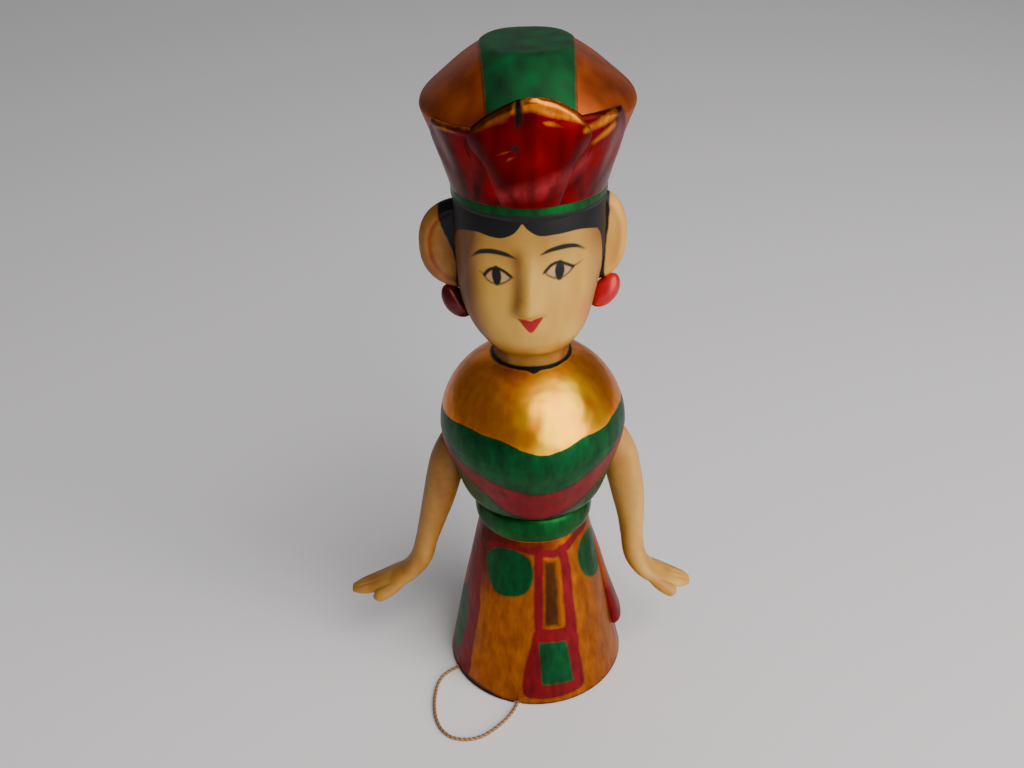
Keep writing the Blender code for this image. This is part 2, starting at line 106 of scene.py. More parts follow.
# %% [markdown]
# ## Surfaces from grids of points
#
# Every piece of this figure is a closed skin: rings of points stacked from one end to the other. In Blender
# such a skin could be a Screw modifier, a bevelled curve or a sculpted mesh. Computing the rings as numpy
# arrays keeps the formulas of the solids, gives all the points that small carving needs, and leaves nothing
# to be applied afterwards. Lengths are in millimetres until the mesh is made.

# %% Helpers for skins
MM = 0.001
CORNER_STEPS = 6
STROKE_STEPS = 8
BORDER_STEPS = 12


def cubic(before, start, end, after, step):
    """The cubic from start to end whose slope at each is half the way between its neighbours."""
    slope = (end - before) * step
    bend = (2 * before - 5 * start + 4 * end - after) * step ** 2
    twist = (3 * start - before - 3 * end + after) * step ** 3
    return 0.5 * (2 * start + slope + bend + twist)


def smooth_through(points, count):
    """Count points on a smooth curve through the given ones, spaced evenly from each point to the next."""
    knots = np.array(points, dtype=float)
    padded = np.vstack([2 * knots[0] - knots[1], knots, 2 * knots[-1] - knots[-2]])
    place = np.linspace(0, len(knots) - 1, count)
    left = np.minimum(place.astype(int), len(knots) - 2)
    step = (place - left)[:, None]
    return cubic(padded[left], padded[left + 1], padded[left + 2], padded[left + 3], step)


def rounded(corners):
    """A closed outline that runs smoothly through its corners, with a few steps from each to the next."""
    knots = np.array(corners, dtype=float)[:, None]
    step = np.linspace(0, 1, CORNER_STEPS, endpoint=False)[None, :, None]
    neighbours = (np.roll(knots, shift, axis=0) for shift in (1, 0, -1, -2))
    return cubic(*neighbours, step).reshape(-1, knots.shape[2])


def between(low, high, share):
    """The value a share of the way from low to high."""
    return low + (high - low) * share


def ease(value):
    """A step from 0 to 1 that starts and ends level: three times the square less twice the cube."""
    value = np.clip(value, 0, 1)
    return value * value * (3 - 2 * value)


def ramp(values, start, end):
    """From 0 where the values are at the start to 1 where they are at the end, level at both."""
    return ease((values - start) / (end - start))


def hump(distance, reach):
    """A bell that is 1 at no distance and fades to nothing over a few reaches."""
    return np.exp(-((distance / reach) ** 2))


def bell(values, size, middle, reach):
    """A bell of a size round its middle."""
    return size * hump(values - middle, reach)


def closed_skin(name, rings, start="point", end="point"):
    """An object skinned over rings of points, an array of (rings, columns, 3) in millimetres.

    Each cell between two rings and two columns is one four-sided face, and the last column meets the
    first. An end is closed by a point at the ring's middle, or by strips that pair the ring's two sides. The
    volume is the sum of the cells' triple products, and where it is negative all faces are turned over.
    """
    count, columns = rings.shape[:2]
    points = rings.reshape(-1, 3)
    index = np.arange(count * columns).reshape(count, columns)
    following = np.roll(index, -1, axis=1)
    quads = np.stack([index[:-1], following[:-1], following[1:], index[1:]], axis=-1).reshape(-1, 4)
    a, b, c, d = (points[quads[:, corner]] for corner in range(4))
    volume = np.einsum("ij,ij->i", a, np.cross(b, c) + np.cross(c, d)).sum()
    faces = [quads]
    triangles = []
    for kind, ring, outward in ((start, 0, -1), (end, -1, 1)):
        if kind == "strips":
            side = np.arange(columns // 2 - 1)
            strip = np.stack([side, side + 1, columns - 2 - side, columns - 1 - side], axis=1)
            faces.append(index[ring][strip[:, ::outward]])
        else:
            middle = np.full(columns, len(points))
            points = np.vstack([points, rings[ring].mean(axis=0)])
            fan = np.stack([index[ring], following[ring], middle], axis=1)
            triangles.append(fan[:, ::outward])
    turn = 1 if volume > 0 else -1
    cells = [face for group in faces + triangles for face in group[:, ::turn].tolist()]
    mesh = bpy.data.meshes.new(name)
    mesh.from_pydata((points * MM).tolist(), [], cells)
    mesh.shade_smooth()
    mesh.validate()
    return in_scene(name, mesh)


def places(piece):
    """Every point of a piece, as x, y and z in millimetres."""
    flat = np.empty(3 * len(piece.data.vertices), np.float32)
    piece.data.vertices.foreach_get("co", flat)
    return flat.reshape(-1, 3).astype(float).T / MM


def mark(piece, name, values):
    """Keep one number for each point of a piece, which its material reads by name."""
    attribute = piece.data.attributes.new(name, "FLOAT", "POINT")
    attribute.data.foreach_set("value", np.asarray(values, np.float32))


def settle(piece, material, slot, *nodes):
    """Coat a piece, ride it on the body, and hide the solids that it stands for; the slot is not used."""
    piece.data.materials.clear()
    piece.data.materials.append(material)
    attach(piece, "root")
    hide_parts(*nodes)
    print(piece.name, len(piece.data.polygons), "faces")


# %% [markdown]
# ## Paint, wood and string
#
# The figure is hand painted in opaque and metallic lacquers, one over the other, and varnished. A paint
# layer could come from an image; here each layer is a mask in the material. The pieces carry, point by
# point, their distance in millimetres from the edge of each painted shape, and the material turns that
# distance into a crisp edge. A little noise added to the distance makes the edge as unsteady as a brush.
# Each colour runs between a dark and a light tone: slowly in the ground coat, which is thick, and along
# brush streaks in what is painted over it. A low bump makes the varnish wavy.

# %% Helpers for materials
STREAK = (1.5, 1.5, 0.5)
BRUSH_MARKS = {"size": 3.0, "detail": 3.5, "roughness": 0.55}
POOLED_PAINT = {"size": 7.0, "detail": 1.0}
WAVY_VARNISH = {"size": 5.0, "detail": 1.0}
TONE_RUN = (0.22, 0.78)
SHAKE_SIZE = 2.2
WORN = 0.03
WAVE_STRENGTH = 0.6
COAT_ROUGHNESS = 0.16


def colour(red, green, blue):
    """A colour from 0 to 255 display values, made linear by the standard display curve."""
    tones = ((value / 255 + 0.055) / 1.055 for value in (red, green, blue))
    return (*(tone ** 2.4 for tone in tones), 1.0)


def add_node(tree, kind, inputs, **settings):
    """A new node with its settings, and its inputs by name or number as values or as sockets to join."""
    node = tree.nodes.new(kind)
    for setting, value in settings.items():
        setattr(node, setting, value)
    for place, value in inputs.items():
        if isinstance(value, bpy.types.NodeSocket):
            tree.links.new(value, node.inputs[place])
        else:
            node.inputs[place].default_value = value
    return node


def mixed(tree, share, first, second, kind="RGBA"):
    """The blend of two colours or two numbers by a share."""
    a, b, out = (6, 7, 2) if kind == "RGBA" else (2, 3, 0)
    return add_node(tree, "ShaderNodeMix", {0: share, a: first, b: second}, data_type=kind).outputs[out]


def noise(tree, vector, size, detail=3.0, roughness=0.5):
    """Noise from 0 to 1 whose lumps are about the given size in millimetres."""
    inputs = {"Vector": vector, "Scale": 1 / (size * MM), "Detail": detail, "Roughness": roughness}
    return add_node(tree, "ShaderNodeTexNoise", inputs).outputs["Fac"]


def ranged(tree, value, run, low=0.0, high=1.0):
    """A value whose run is mapped evenly to the one from low to high, and held at both ends."""
    inputs = {"Value": value, "From Min": run[0], "From Max": run[1], "To Min": low, "To Max": high}
    return add_node(tree, "ShaderNodeMapRange", inputs).outputs[0]


def bumped(tree, height, strength, depth):
    """The normal of a surface with this height over it, as strong and as deep in millimetres as given."""
    inputs = {"Strength": strength, "Distance": depth * MM, "Height": height}
    return add_node(tree, "ShaderNodeBump", inputs).outputs[0]


def new_material(name):
    """A new material, its nodes and its shader."""
    material = bpy.data.materials.new(name)
    material.use_nodes = True
    return material, material.node_tree, material.node_tree.nodes["Principled BSDF"]


def painted(name, ground, layers, coat=0.0, shine=0.3, wobble=0.25, dents=0.12):
    """A varnished paint job of a ground and layers over it.

    The ground is (dark tone, light tone, metal, roughness). A layer is (distance attribute, softness of the
    edge in millimetres, dark tone, light tone, metal, roughness) and covers what came before wherever its
    distance is below zero. The wobble shakes every edge and the dents are the depth of the varnish's waves,
    both in millimetres.
    """
    material, tree, shader = new_material(name)
    object_place = add_node(tree, "ShaderNodeTexCoord", {}).outputs["Object"]
    streaks = add_node(tree, "ShaderNodeMapping", {"Vector": object_place, "Scale": STREAK}).outputs[0]
    tone = ranged(tree, noise(tree, streaks, **BRUSH_MARKS), TONE_RUN)
    ground_tone = ranged(tree, noise(tree, streaks, **POOLED_PAINT), TONE_RUN)
    shaken = ranged(tree, noise(tree, object_place, SHAKE_SIZE), (0.0, 1.0), -wobble, wobble)

    dark, light, metal, rough = ground
    paint = mixed(tree, ground_tone, dark, light)
    for attribute, softness, dark, light, layer_metal, layer_rough in layers:
        distance = add_node(tree, "ShaderNodeAttribute", {}, attribute_name=attribute).outputs["Fac"]
        edge = add_node(tree, "ShaderNodeMath", {0: distance, 1: shaken}, operation="ADD").outputs[0]
        cover = ranged(tree, edge, (softness, -softness))
        paint = mixed(tree, cover, paint, mixed(tree, tone, dark, light))
        metal = mixed(tree, cover, metal, layer_metal, "FLOAT")
        rough = mixed(tree, cover, rough, layer_rough, "FLOAT")
    worn = ranged(tree, ground_tone, (0.0, 1.0), -WORN, WORN)
    rough = add_node(tree, "ShaderNodeMath", {0: rough, 1: worn}, operation="ADD").outputs[0]

    tree.links.new(paint, shader.inputs["Base Color"])
    tree.links.new(rough, shader.inputs["Roughness"])
    tree.links.new(metal, shader.inputs["Metallic"])
    shader.inputs["Specular IOR Level"].default_value = shine
    shader.inputs["Coat Weight"].default_value = coat
    shader.inputs["Coat Roughness"].default_value = COAT_ROUGHNESS
    bump = bumped(tree, noise(tree, object_place, **WAVY_VARNISH), WAVE_STRENGTH, dents)
    tree.links.new(bump, shader.inputs["Normal"])
    tree.links.new(bump, shader.inputs["Coat Normal"])
    return material


GOLD = (colour(242, 134, 3), colour(255, 200, 4), 0.9, 0.31)
# Deeper gold, painted shade on the cape away from the window light.
SHADED_AMBER = (colour(208, 98, 3), colour(234, 144, 4), 0.9, 0.31)
OLD_GOLD = (colour(122, 54, 2), colour(178, 98, 6), 0.85, 0.42)
COPPER = (colour(132, 52, 14), colour(174, 82, 24), 0.8, 0.5)
RED_GLAZE = (colour(56, 0, 4), colour(134, 2, 14), 0.95, 0.32)
RED = (colour(86, 2, 10), colour(136, 10, 24), 0.7, 0.44)
GREEN = (colour(0, 42, 18), colour(0, 88, 40), 0.75, 0.42)
BRIGHT_GREEN = (colour(0, 44, 16), colour(4, 92, 32), 0.75, 0.38)
OLIVE = (colour(34, 12, 0), colour(84, 42, 2), 0.8, 0.4)
UMBER = (colour(18, 3, 8), colour(44, 8, 16), 0.5, 0.45)
CREAM = (colour(176, 128, 48), colour(200, 156, 68), 0.0, 0.42)
# Dark ochre for painted shade on the skin, the ears and the arms.
SHADE_OCHRE = (colour(82, 36, 2), colour(114, 58, 10), 0.0, 0.44)
BLACK = (colour(0, 0, 1), colour(3, 3, 5), 0.0, 0.5)
INK = (colour(4, 3, 1), colour(14, 11, 5), 0.0, 0.45)
EYE_WHITE = (colour(164, 126, 80), colour(184, 148, 98), 0.0, 0.42)
LIP = (colour(130, 2, 14), colour(160, 8, 26), 0.0, 0.4)
BLUSH = (colour(184, 84, 34), colour(202, 106, 46), 0.0, 0.44)
print("Finishes named")

# %% [markdown]
# ## The pull cord
#
# A thin limp string leaves the hollow under the figure's right side, makes one loop on the table and goes
# back in under the front of the hem. It could be a bevelled curve, but two plies twisted round each other
# show even at this size. So a ring is carried along the route, and its radius is lowest in the two grooves
# between the plies, which turn as the ring moves on. The route is the same as in the solids, in metres.

# %% Pull cord
CORD_DIAMETER = 0.0009
CORD_RINGS = 520
CORD_COLUMNS = 16
PLY_PITCH = 2.6
PLY_GROOVE = 0.26
CORD_ROUTE = [
    (-0.0150, -0.0062, 0.0060), (-0.0150, -0.0062, 0.0044), (-0.01504, -0.00623, 0.0026),
    (-0.0153, -0.0064, 0.00155), (-0.01595, -0.00676, 0.00085), (-0.0170, -0.0074, 0.00055),
    (-0.0189, -0.0085, 0.00055), (-0.0207, -0.0095, 0.00055), (-0.0224, -0.0105, 0.00055),
    (-0.0243, -0.0119, 0.00055), (-0.0260, -0.0141, 0.00055), (-0.0271, -0.0176, 0.00055),
    (-0.0274, -0.0223, 0.00055), (-0.0270, -0.0266, 0.00055), (-0.0260, -0.0301, 0.00055),
    (-0.0245, -0.0327, 0.00055), (-0.0224, -0.0346, 0.00055), (-0.0200, -0.0354, 0.00055),
    (-0.0173, -0.0355, 0.00055), (-0.0146, -0.0347, 0.00055), (-0.0125, -0.0334, 0.00055),
    (-0.0106, -0.0317, 0.00055), (-0.0087, -0.0297, 0.00055), (-0.0071, -0.0275, 0.00055),
    (-0.0059, -0.0254, 0.00055), (-0.0050, -0.0232, 0.00055), (-0.0045, -0.0213, 0.00055),
    (-0.0041, -0.0196, 0.00055), (-0.0036, -0.0177, 0.00055), (-0.00328, -0.01656, 0.00085),
    (-0.0031, -0.0158, 0.00155), (-0.00301, -0.01555, 0.0026), (-0.0030, -0.0155, 0.0044),
    (-0.0030, -0.0155, 0.0060),
]


def carried_frames(line):
    """Two directions square to a line at each of its points, carried along without twisting.

    At each step the last side direction is laid square to the new direction of travel.
    """
    travel = np.gradient(line, axis=0)
    travel /= np.linalg.norm(travel, axis=1)[:, None]
    side = np.array([0.0, 1.0, 0.0])
    sides = []
    for ahead in travel:
        side = side - ahead * side.dot(ahead)
        side /= np.linalg.norm(side)
        sides.append(side)
    return np.array(sides), np.cross(travel, sides)


cord_line = smooth_through(CORD_ROUTE, CORD_RINGS) / MM
cord_run = np.concatenate([[0.0], np.linalg.norm(np.diff(cord_line, axis=0), axis=1).cumsum()])
side, over = carried_frames(cord_line)
turn = np.linspace(0, 2 * math.pi, CORD_COLUMNS, endpoint=False)
ply_turn = turn - 2 * math.pi * cord_run[:, None] / PLY_PITCH
ply_radius = CORD_DIAMETER / MM / 2 * (1 + PLY_GROOVE * (0.5 * np.cos(2 * ply_turn) - 0.25))
rings = (
    cord_line[:, None]
    + side[:, None] * (ply_radius * np.cos(turn))[:, :, None]
    + over[:, None] * (ply_radius * np.sin(turn))[:, :, None]
)
pull_cord = closed_skin("string_loop", rings)
mark(pull_cord, "ply", np.append(np.cos(2 * ply_turn).ravel(), [0.0, 0.0]))

STRING_DARK = colour(140, 98, 58)
STRING_LIGHT = colour(184, 142, 96)
STRING_GROOVE_SHADE = colour(96, 66, 40)
STRING_ROUGHNESS = 0.85
string, string_tree, string_shader = new_material("twisted string")
ply = add_node(string_tree, "ShaderNodeAttribute", {}, attribute_name="ply").outputs["Fac"]
string_place = add_node(string_tree, "ShaderNodeTexCoord", {}).outputs["Object"]
stained = mixed(string_tree, noise(string_tree, string_place, 6.0), STRING_DARK, STRING_LIGHT)
# Painted shade: the grooves between the plies are darker.
string_tone = mixed(string_tree, ranged(string_tree, ply, (-1.0, 0.4)), STRING_GROOVE_SHADE, stained)
hairs = bumped(string_tree, noise(string_tree, string_place, 0.25), 0.5, 0.05)
string_tree.links.new(string_tone, string_shader.inputs["Base Color"])
string_tree.links.new(hairs, string_shader.inputs["Normal"])
string_shader.inputs["Roughness"].default_value = STRING_ROUGHNESS
settle(pull_cord, string, "string", "pull_cord")

# %% [markdown]
# ## The turned body
#
# Dome, tapering underside of the bust, waist roll and skirt were turned on a lathe, so the whole body is one
# profile swept round. The profile is made of simple runs: a quarter ellipse for the dome, a smooth curve for
# the taper, half a sine wave for the roll, and a nearly straight line for the skirt. Sanding and thick paint
# leave slow lumps, which a few low waves add, because a perfect surface mirrors the light too cleanly. The
# underside has two drilled holes, and nicks let the cord out under the hem.

# %% Sizes of the body
FIGURE_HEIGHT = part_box("figure")[1].z / MM
BUST_HEIGHT = 77.0
BUST_FOOT_HEIGHT = 55.3
ROLL_FOOT_HEIGHT = 48.3
HEM_RADIUS = 23.8
SKIRT_TOP_RADIUS = 13.9
ROLL_RADIUS = 15.2
BUST_RADIUS = 23.0
DOME_RISE = 21.2
HOLE_RADIUS = 1.8
HOLE_DEPTH = 8.0
NICK_HALF_WIDTH = 0.9
NICK_DEPTH = 1.35
NICK_BLEND = 5.0
CUT_SOFTNESS = 0.5
HEM_ROUNDING = 0.7
HEM_POINT = 8
LUMP_HEIGHT = 0.045
LUMPS = [(1.0, 3, 0.11, 0.0), (1.0, 5, -0.17, 1.3), (0.7, 8, 0.31, 2.1)]
DOME_RINGS = 84
TAPER_RINGS = 64
ROLL_RINGS = 36
SKIRT_RINGS = 108
FOOT_RINGS = 38
BODY_COLUMNS = 264


def skirt_radius(height):
    """The skirt widens almost evenly from the waist and stands up a little at the hem."""
    share = 1 - height / ROLL_FOOT_HEIGHT
    return between(SKIRT_TOP_RADIUS, HEM_RADIUS, share * (1.1 - 0.1 * share))


def body_profile():
    """Radius and height down the outside of the body, from the top of the dome to the middle of the foot."""
    lean = np.radians(np.linspace(1, 90, DOME_RINGS, endpoint=False))
    dome = np.stack([BUST_RADIUS * np.sin(lean), BUST_HEIGHT + DOME_RISE * np.cos(lean)], axis=1)
    fall = BUST_HEIGHT - BUST_FOOT_HEIGHT
    taper = smooth_through(
        [
            (BUST_RADIUS, BUST_HEIGHT),
            (BUST_RADIUS * 0.975, BUST_HEIGHT - 0.17 * fall),
            (between(BUST_RADIUS, SKIRT_TOP_RADIUS, 0.35), BUST_HEIGHT - 0.56 * fall),
            (between(BUST_RADIUS, SKIRT_TOP_RADIUS, 0.58), BUST_HEIGHT - 0.84 * fall),
            (SKIRT_TOP_RADIUS * 1.01, BUST_FOOT_HEIGHT),
        ],
        TAPER_RINGS,
    )
    swell = np.linspace(0, math.pi, ROLL_RINGS)[1:-1]
    roll = np.stack([
        between(SKIRT_TOP_RADIUS, ROLL_RADIUS, np.sin(swell) ** 0.8),
        between(ROLL_FOOT_HEIGHT, BUST_FOOT_HEIGHT, 0.5 + 0.5 * np.cos(swell)),
    ], axis=1)
    falling = np.linspace(1.0, 0.016, SKIRT_RINGS)
    skirt = np.stack([skirt_radius(ROLL_FOOT_HEIGHT * falling), ROLL_FOOT_HEIGHT * falling], axis=1)
    rounding = np.radians(np.linspace(15, 90, 6))
    edge = HEM_ROUNDING * np.stack([np.cos(rounding) - 1, 1 - np.sin(rounding)], axis=1)
    edge[:, 0] += HEM_RADIUS
    inward = np.linspace(HEM_RADIUS - 1.1, 0.25, FOOT_RINGS)
    foot = np.stack([inward, np.zeros(FOOT_RINGS)], axis=1)
    return np.vstack([dome, taper, roll, skirt, edge, foot])


def cord_relief(across, deep):
    """How high the underside is hollowed: the two drilled holes, and the nick that leads out from each.

    A nick is where the shortest way to the line from a hole through its hem point is under half a width.
    """
    hollow = np.zeros(across.shape)
    for route in (CORD_ROUTE, CORD_ROUTE[::-1]):
        start = np.array(route[0][:2]) / MM
        heading = np.array(route[HEM_POINT][:2]) / MM - start
        heading /= np.linalg.norm(heading)
        along = (across - start[0]) * heading[0] + (deep - start[1]) * heading[1]
        aside = (across - start[0]) * heading[1] - (deep - start[1]) * heading[0]
        nick = NICK_DEPTH * ease((NICK_HALF_WIDTH - np.abs(aside)) / CUT_SOFTNESS + 0.5) * (along > 0)
        drill = HOLE_DEPTH * ease((HOLE_RADIUS - np.hypot(along, aside)) / CUT_SOFTNESS + 0.5)
        hollow = np.maximum(hollow, np.maximum(nick, drill))
    return hollow


def body_rings():
    """The profile swept round, with slow lumps, and hollowed underneath for the cord.

    Each wave of the lumps has its size, its crests round the body, its twist with height and its start.
    """
    profile = body_profile()
    angle = np.linspace(-math.pi, math.pi, BODY_COLUMNS, endpoint=False)
    radius, height = profile[:, :1], np.repeat(profile[:, 1:], BODY_COLUMNS, axis=1)
    lumps = sum(size * np.sin(waves * angle + twist * height + start) for size, waves, twist, start in LUMPS)
    reach = radius + LUMP_HEIGHT * lumps * ease(radius / 12) * ease(height / 4)
    across, deep = reach * np.sin(angle), -reach * np.cos(angle)
    hollow = cord_relief(across, deep)
    wall = np.arange(len(profile))[:, None] < len(profile) - FOOT_RINGS
    nick = np.minimum(hollow, NICK_DEPTH) * (1 - np.clip(height / NICK_BLEND, 0, 1))
    height = height + np.where(wall, nick, hollow)
    return np.stack([across, deep, height], axis=-1)


body = closed_skin("dress_and_bust", body_rings())

# %% [markdown]
# ### Painting the dress
#
# The cape is gold and ends in a low point in front. Its gold stays yellow, as a painted highlight, only on
# the side that faces the window light; elsewhere a deeper amber is painted shade. A green band, a rose band
# and the green waist roll follow it. The skirt is gold, with a red sash down the front that ends in a green
# square, green patches at both hips, and red side sashes. A darker red on the skirt's shaded side and in a
# band under the waist roll is painted shade, and the dark hem line swells into a painted shadow on the
# shaded side near the cord. All these shapes are outlines or brush strokes on the unrolled body: how far
# round (degrees, or millimetres of arc once multiplied by the radius) and how high. For each point of the
# mesh the shortest way to an outline is worked out at once, and kept as a signed distance. Softer changes of
# tone are ramps, named by a pair of places where they start and end, and bells, named by three numbers:
# size, middle and reach.

# %% Distances to painted shapes


def outline_distance(across, up, corners):
    """Signed distance to a closed outline with straight sides: the shortest way to a side, negative inside.

    A point lies inside where a line from it to the right crosses the outline an odd number of times.
    """
    nearest = np.full(across.shape, np.inf)
    inside = np.zeros(across.shape, bool)
    for (ax, ay), (bx, by) in zip(corners, np.roll(corners, -1, axis=0)):
        dx, dy = bx - ax, by - ay
        share = np.clip(((across - ax) * dx + (up - ay) * dy) / (dx * dx + dy * dy), 0, 1)
        nearest = np.minimum(nearest, np.hypot(across - ax - share * dx, up - ay - share * dy))
        level_share = (up - ay) / (dy if dy else 1.0)
        inside ^= ((ay > up) != (by > up)) & (across < ax + level_share * dx)
    return np.where(inside, -nearest, nearest)


def stroke_distance(across, up, stroke):
    """Signed distance to a brush stroke through points of (across, up, half width), negative inside it."""
    line = smooth_through(stroke, STROKE_STEPS * len(stroke))
    nearest = np.full(across.shape, np.inf)
    for (ax, ay, aw), (bx, by, bw) in zip(line[:-1], line[1:]):
        dx, dy = bx - ax, by - ay
        share = np.clip(((across - ax) * dx + (up - ay) * dy) / (dx * dx + dy * dy + 1e-9), 0, 1)
        away = np.hypot(across - ax - share * dx, up - ay - share * dy)
        nearest = np.minimum(nearest, away - between(aw, bw, share))
    return nearest


def border(around, line):
    """Height of a border at each angle, on a smooth curve through its points of (degrees, height)."""
    return np.interp(around, *smooth_through(line, BORDER_STEPS * len(line)).T)


# %% Paint the dress
COLLAR_POINT = [
    (-180, 82), (-120, 83), (-81, 82.4), (-47, 84.3), (-33, 84.1), (-19, 83.8), (-7, 82.2), (6, 80.9),
    (19, 81.6), (33, 83.2), (50, 83), (71, 84), (120, 83), (180, 82),
]
GREEN_FOOT = [
    (-180, 75.6), (-120, 77), (-81, 78.2), (-73, 77.6), (-53, 74.1), (-34, 72.3), (-14, 69.8), (3, 68.3),
    (21, 69.4), (36, 71.8), (56, 75.5), (81, 78.2), (120, 77), (180, 75.6),
]
ROSE_FOOT = [
    (-180, 67.6), (-110, 69), (-70, 70), (-42, 66.5), (-29, 62.8), (-17, 59.9), (3, 57.6), (25, 60.2),
    (45, 64), (70, 70), (110, 69), (180, 67.6),
]
HIP_PATCH_RIGHT = [
    (-52, 40.5), (-42, 44.1), (-24, 45.3), (-7, 43.9), (-1, 40), (-3, 36), (-10, 33.3), (-22, 32), (-35, 32),
    (-46, 35.5),
]
HIP_PATCH_LEFT = [
    (84, 43.2), (66, 44.8), (53, 43.8), (46, 40.8), (47, 36.6), (55, 33), (67, 31.4), (82, 32.4), (91, 36.5),
]
SASH_SQUARE = [(3.8, 18.7), (22.2, 18.1), (25, 6.4), (5, 6.9)]
SASH_END = [
    (1, 24), (10, 23), (31.6, 21.4), (33.6, 14), (34.4, 7), (32.5, 3), (18, 2), (-4, 2.2), (-9.4, 5),
    (-8, 11), (-4, 18),
]
SASH_PANEL = [(9.4, 42.6), (21.5, 42), (19.6, 23.4), (7, 23.8)]
SIDE_PANEL_RIGHT = [(-78, 25), (-69, 23), (-66, 16), (-69, 6.4), (-86, 4.5), (-94, 14), (-88, 23)]
SIDE_SASH_RIGHT = [(-82, 44), (-58, 41), (-54, 30), (-50, 24), (-52, 12), (-54, 1), (-84, 1), (-80, 26)]
WAIST_LINE = [
    (-82, 42.2, 0.6), (-63, 42.6, 0.8), (-37, 45.2, 0.8), (-16, 45.9, 0.8), (2, 45.4, 1.0), (20, 44.3, 1.2),
    (34, 45.2, 1.3), (50, 46.8, 1.2), (82, 47.3, 0.8), (100, 46.9, 0.4),
]
SASH_EDGE_RIGHT = [(5, 46, 1.2), (4, 42, 1.25), (3.2, 34, 1.25), (2.6, 24, 1.3)]
SASH_EDGE_LEFT = [(27, 45, 1.2), (30.5, 40.6, 1.3), (29.6, 30, 1.5), (29, 21, 1.7)]
SASH_MIRROR = 17.0
OVERLAP = 0.5
FAR = 10.0
# Middle and fade, in degrees, of the painted highlight of yellow gold on the window side.
LIT_GOLD_MIDDLE = 24
LIT_GOLD_FADE = (20, 44)
SKIRT_PAINT_REACH = 3
WAIST_PAINT_FOOT = 0.2
NECK_DIP = (0.8, 3, 6)
HEM_SHADOW_SWELL = (1.2, -48, 24)
SHADED_SIDE = (2.6, -58, 26)
SHADED_SIDE_FADE = (27, 35)
NECK_LINE_REACH = 9.95
HEM_LINE_HEIGHT = 0.7
BAND_LINE_HALF_WIDTH = 0.4


def mirrored(points):
    """The same shape on the other side of the sash, in the same sense of rotation."""
    return [(2 * SASH_MIRROR - angle, *rest) for angle, *rest in reversed(points)]


x, y, z = places(body)
around = np.degrees(np.arctan2(x, -y))
outer = body_profile()
outer = outer[outer[:, 1] > 0.05]
arc_radius = np.interp(z, outer[::-1, 1], outer[::-1, 0])
arc = np.radians(around) * arc_radius


def unrolled(points):
    """Angles in degrees to millimetres of arc at each point's own height."""
    rows = np.array(points, dtype=float)
    rows[:, 0] = np.radians(rows[:, 0]) * np.interp(rows[:, 1], outer[::-1, 1], outer[::-1, 0])
    return rows


def shape_on_body(corners, smooth=True):
    """Signed distance of every point of the body to an outline of (degrees, height)."""
    flat = unrolled(corners)
    return outline_distance(arc, z, rounded(flat) if smooth else flat)


collar, green_foot, rose_foot = (border(around, line) for line in (COLLAR_POINT, GREEN_FOOT, ROSE_FOOT))
# Painted highlight and shade: yellow gold only toward the window light, deeper amber elsewhere.
mark(body, "amber", 4 - 8 * ramp(np.abs(around - LIT_GOLD_MIDDLE), *LIT_GOLD_FADE))
mark(body, "skirt", z - ROLL_FOOT_HEIGHT - SKIRT_PAINT_REACH)
mark(body, "green_band", np.maximum(z - collar, green_foot - OVERLAP - z))
mark(body, "rose_band", np.maximum(z - green_foot, rose_foot - OVERLAP - z))
mark(body, "waist", np.maximum(z - rose_foot, ROLL_FOOT_HEIGHT + WAIST_PAINT_FOOT - z))

red = np.minimum.reduce([
    stroke_distance(arc, z, unrolled(WAIST_LINE)),
    stroke_distance(arc, z, unrolled(SASH_EDGE_RIGHT)),
    stroke_distance(arc, z, unrolled(SASH_EDGE_LEFT)),
    shape_on_body(SASH_END),
    shape_on_body(SIDE_SASH_RIGHT),
    shape_on_body(mirrored(SIDE_SASH_RIGHT)),
])
mark(body, "red", red)
green = np.minimum.reduce([
    shape_on_body(HIP_PATCH_RIGHT),
    shape_on_body(HIP_PATCH_LEFT),
    shape_on_body(SASH_SQUARE, smooth=False) - 0.5,
    shape_on_body(SIDE_PANEL_RIGHT),
    shape_on_body(mirrored(SIDE_PANEL_RIGHT)),
])
mark(body, "green", green)
mark(body, "olive", shape_on_body(SASH_PANEL, smooth=False))
mark(body, "neck_line", np.hypot(x, y) - NECK_LINE_REACH - bell(around, *NECK_DIP) + FAR * (z < BUST_HEIGHT))
# A dark line painted along the hem, swelling into a painted shadow on the shaded side near the cord.
mark(body, "hem_line", z - HEM_LINE_HEIGHT - bell(around, *HEM_SHADOW_SWELL))
# Painted shade: darker red on the skirt's shaded side, fading in upwards, and in a band under the waist
# roll.
under_roll_shade = ramp(z, 43.5, 46.5) * ramp(np.abs(around + 40), 75, 55)
worn_red = 1.4 - bell(around, *SHADED_SIDE) * ramp(z, *SHADED_SIDE_FADE) - 2.0 * under_roll_shade
mark(body, "worn_red", worn_red + FAR * (z > ROLL_FOOT_HEIGHT))
from_band_line = np.minimum(np.abs(z - rose_foot), np.abs(z - green_foot) + 0.1)
mark(body, "band_line", from_band_line - BAND_LINE_HALF_WIDTH + FAR * (z < ROLL_FOOT_HEIGHT))

# Dark red that stands for painted shade on the skirt.
SHADED_RED = (colour(56, 6, 3), colour(104, 20, 4), 0.8, 0.38)
dress = painted(
    "dress lacquer", GOLD,
    [
        ("amber", 4.0, *SHADED_AMBER),
        ("skirt", 1.5, *OLD_GOLD),
        ("green_band", 0.12, *GREEN),
        ("rose_band", 0.12, *RED),
        ("waist", 0.12, *BRIGHT_GREEN),
        ("band_line", 0.3, *UMBER),
        ("worn_red", 1.2, *SHADED_RED),
        ("olive", 0.7, *OLIVE),
        ("red", 0.3, *RED),
        ("green", 0.3, *GREEN),
        ("hem_line", 0.4, *UMBER),
        ("neck_line", 0.25, *BLACK),
    ],
    dents=0.5,
)
settle(body, dress, "painted_wood", "figure")

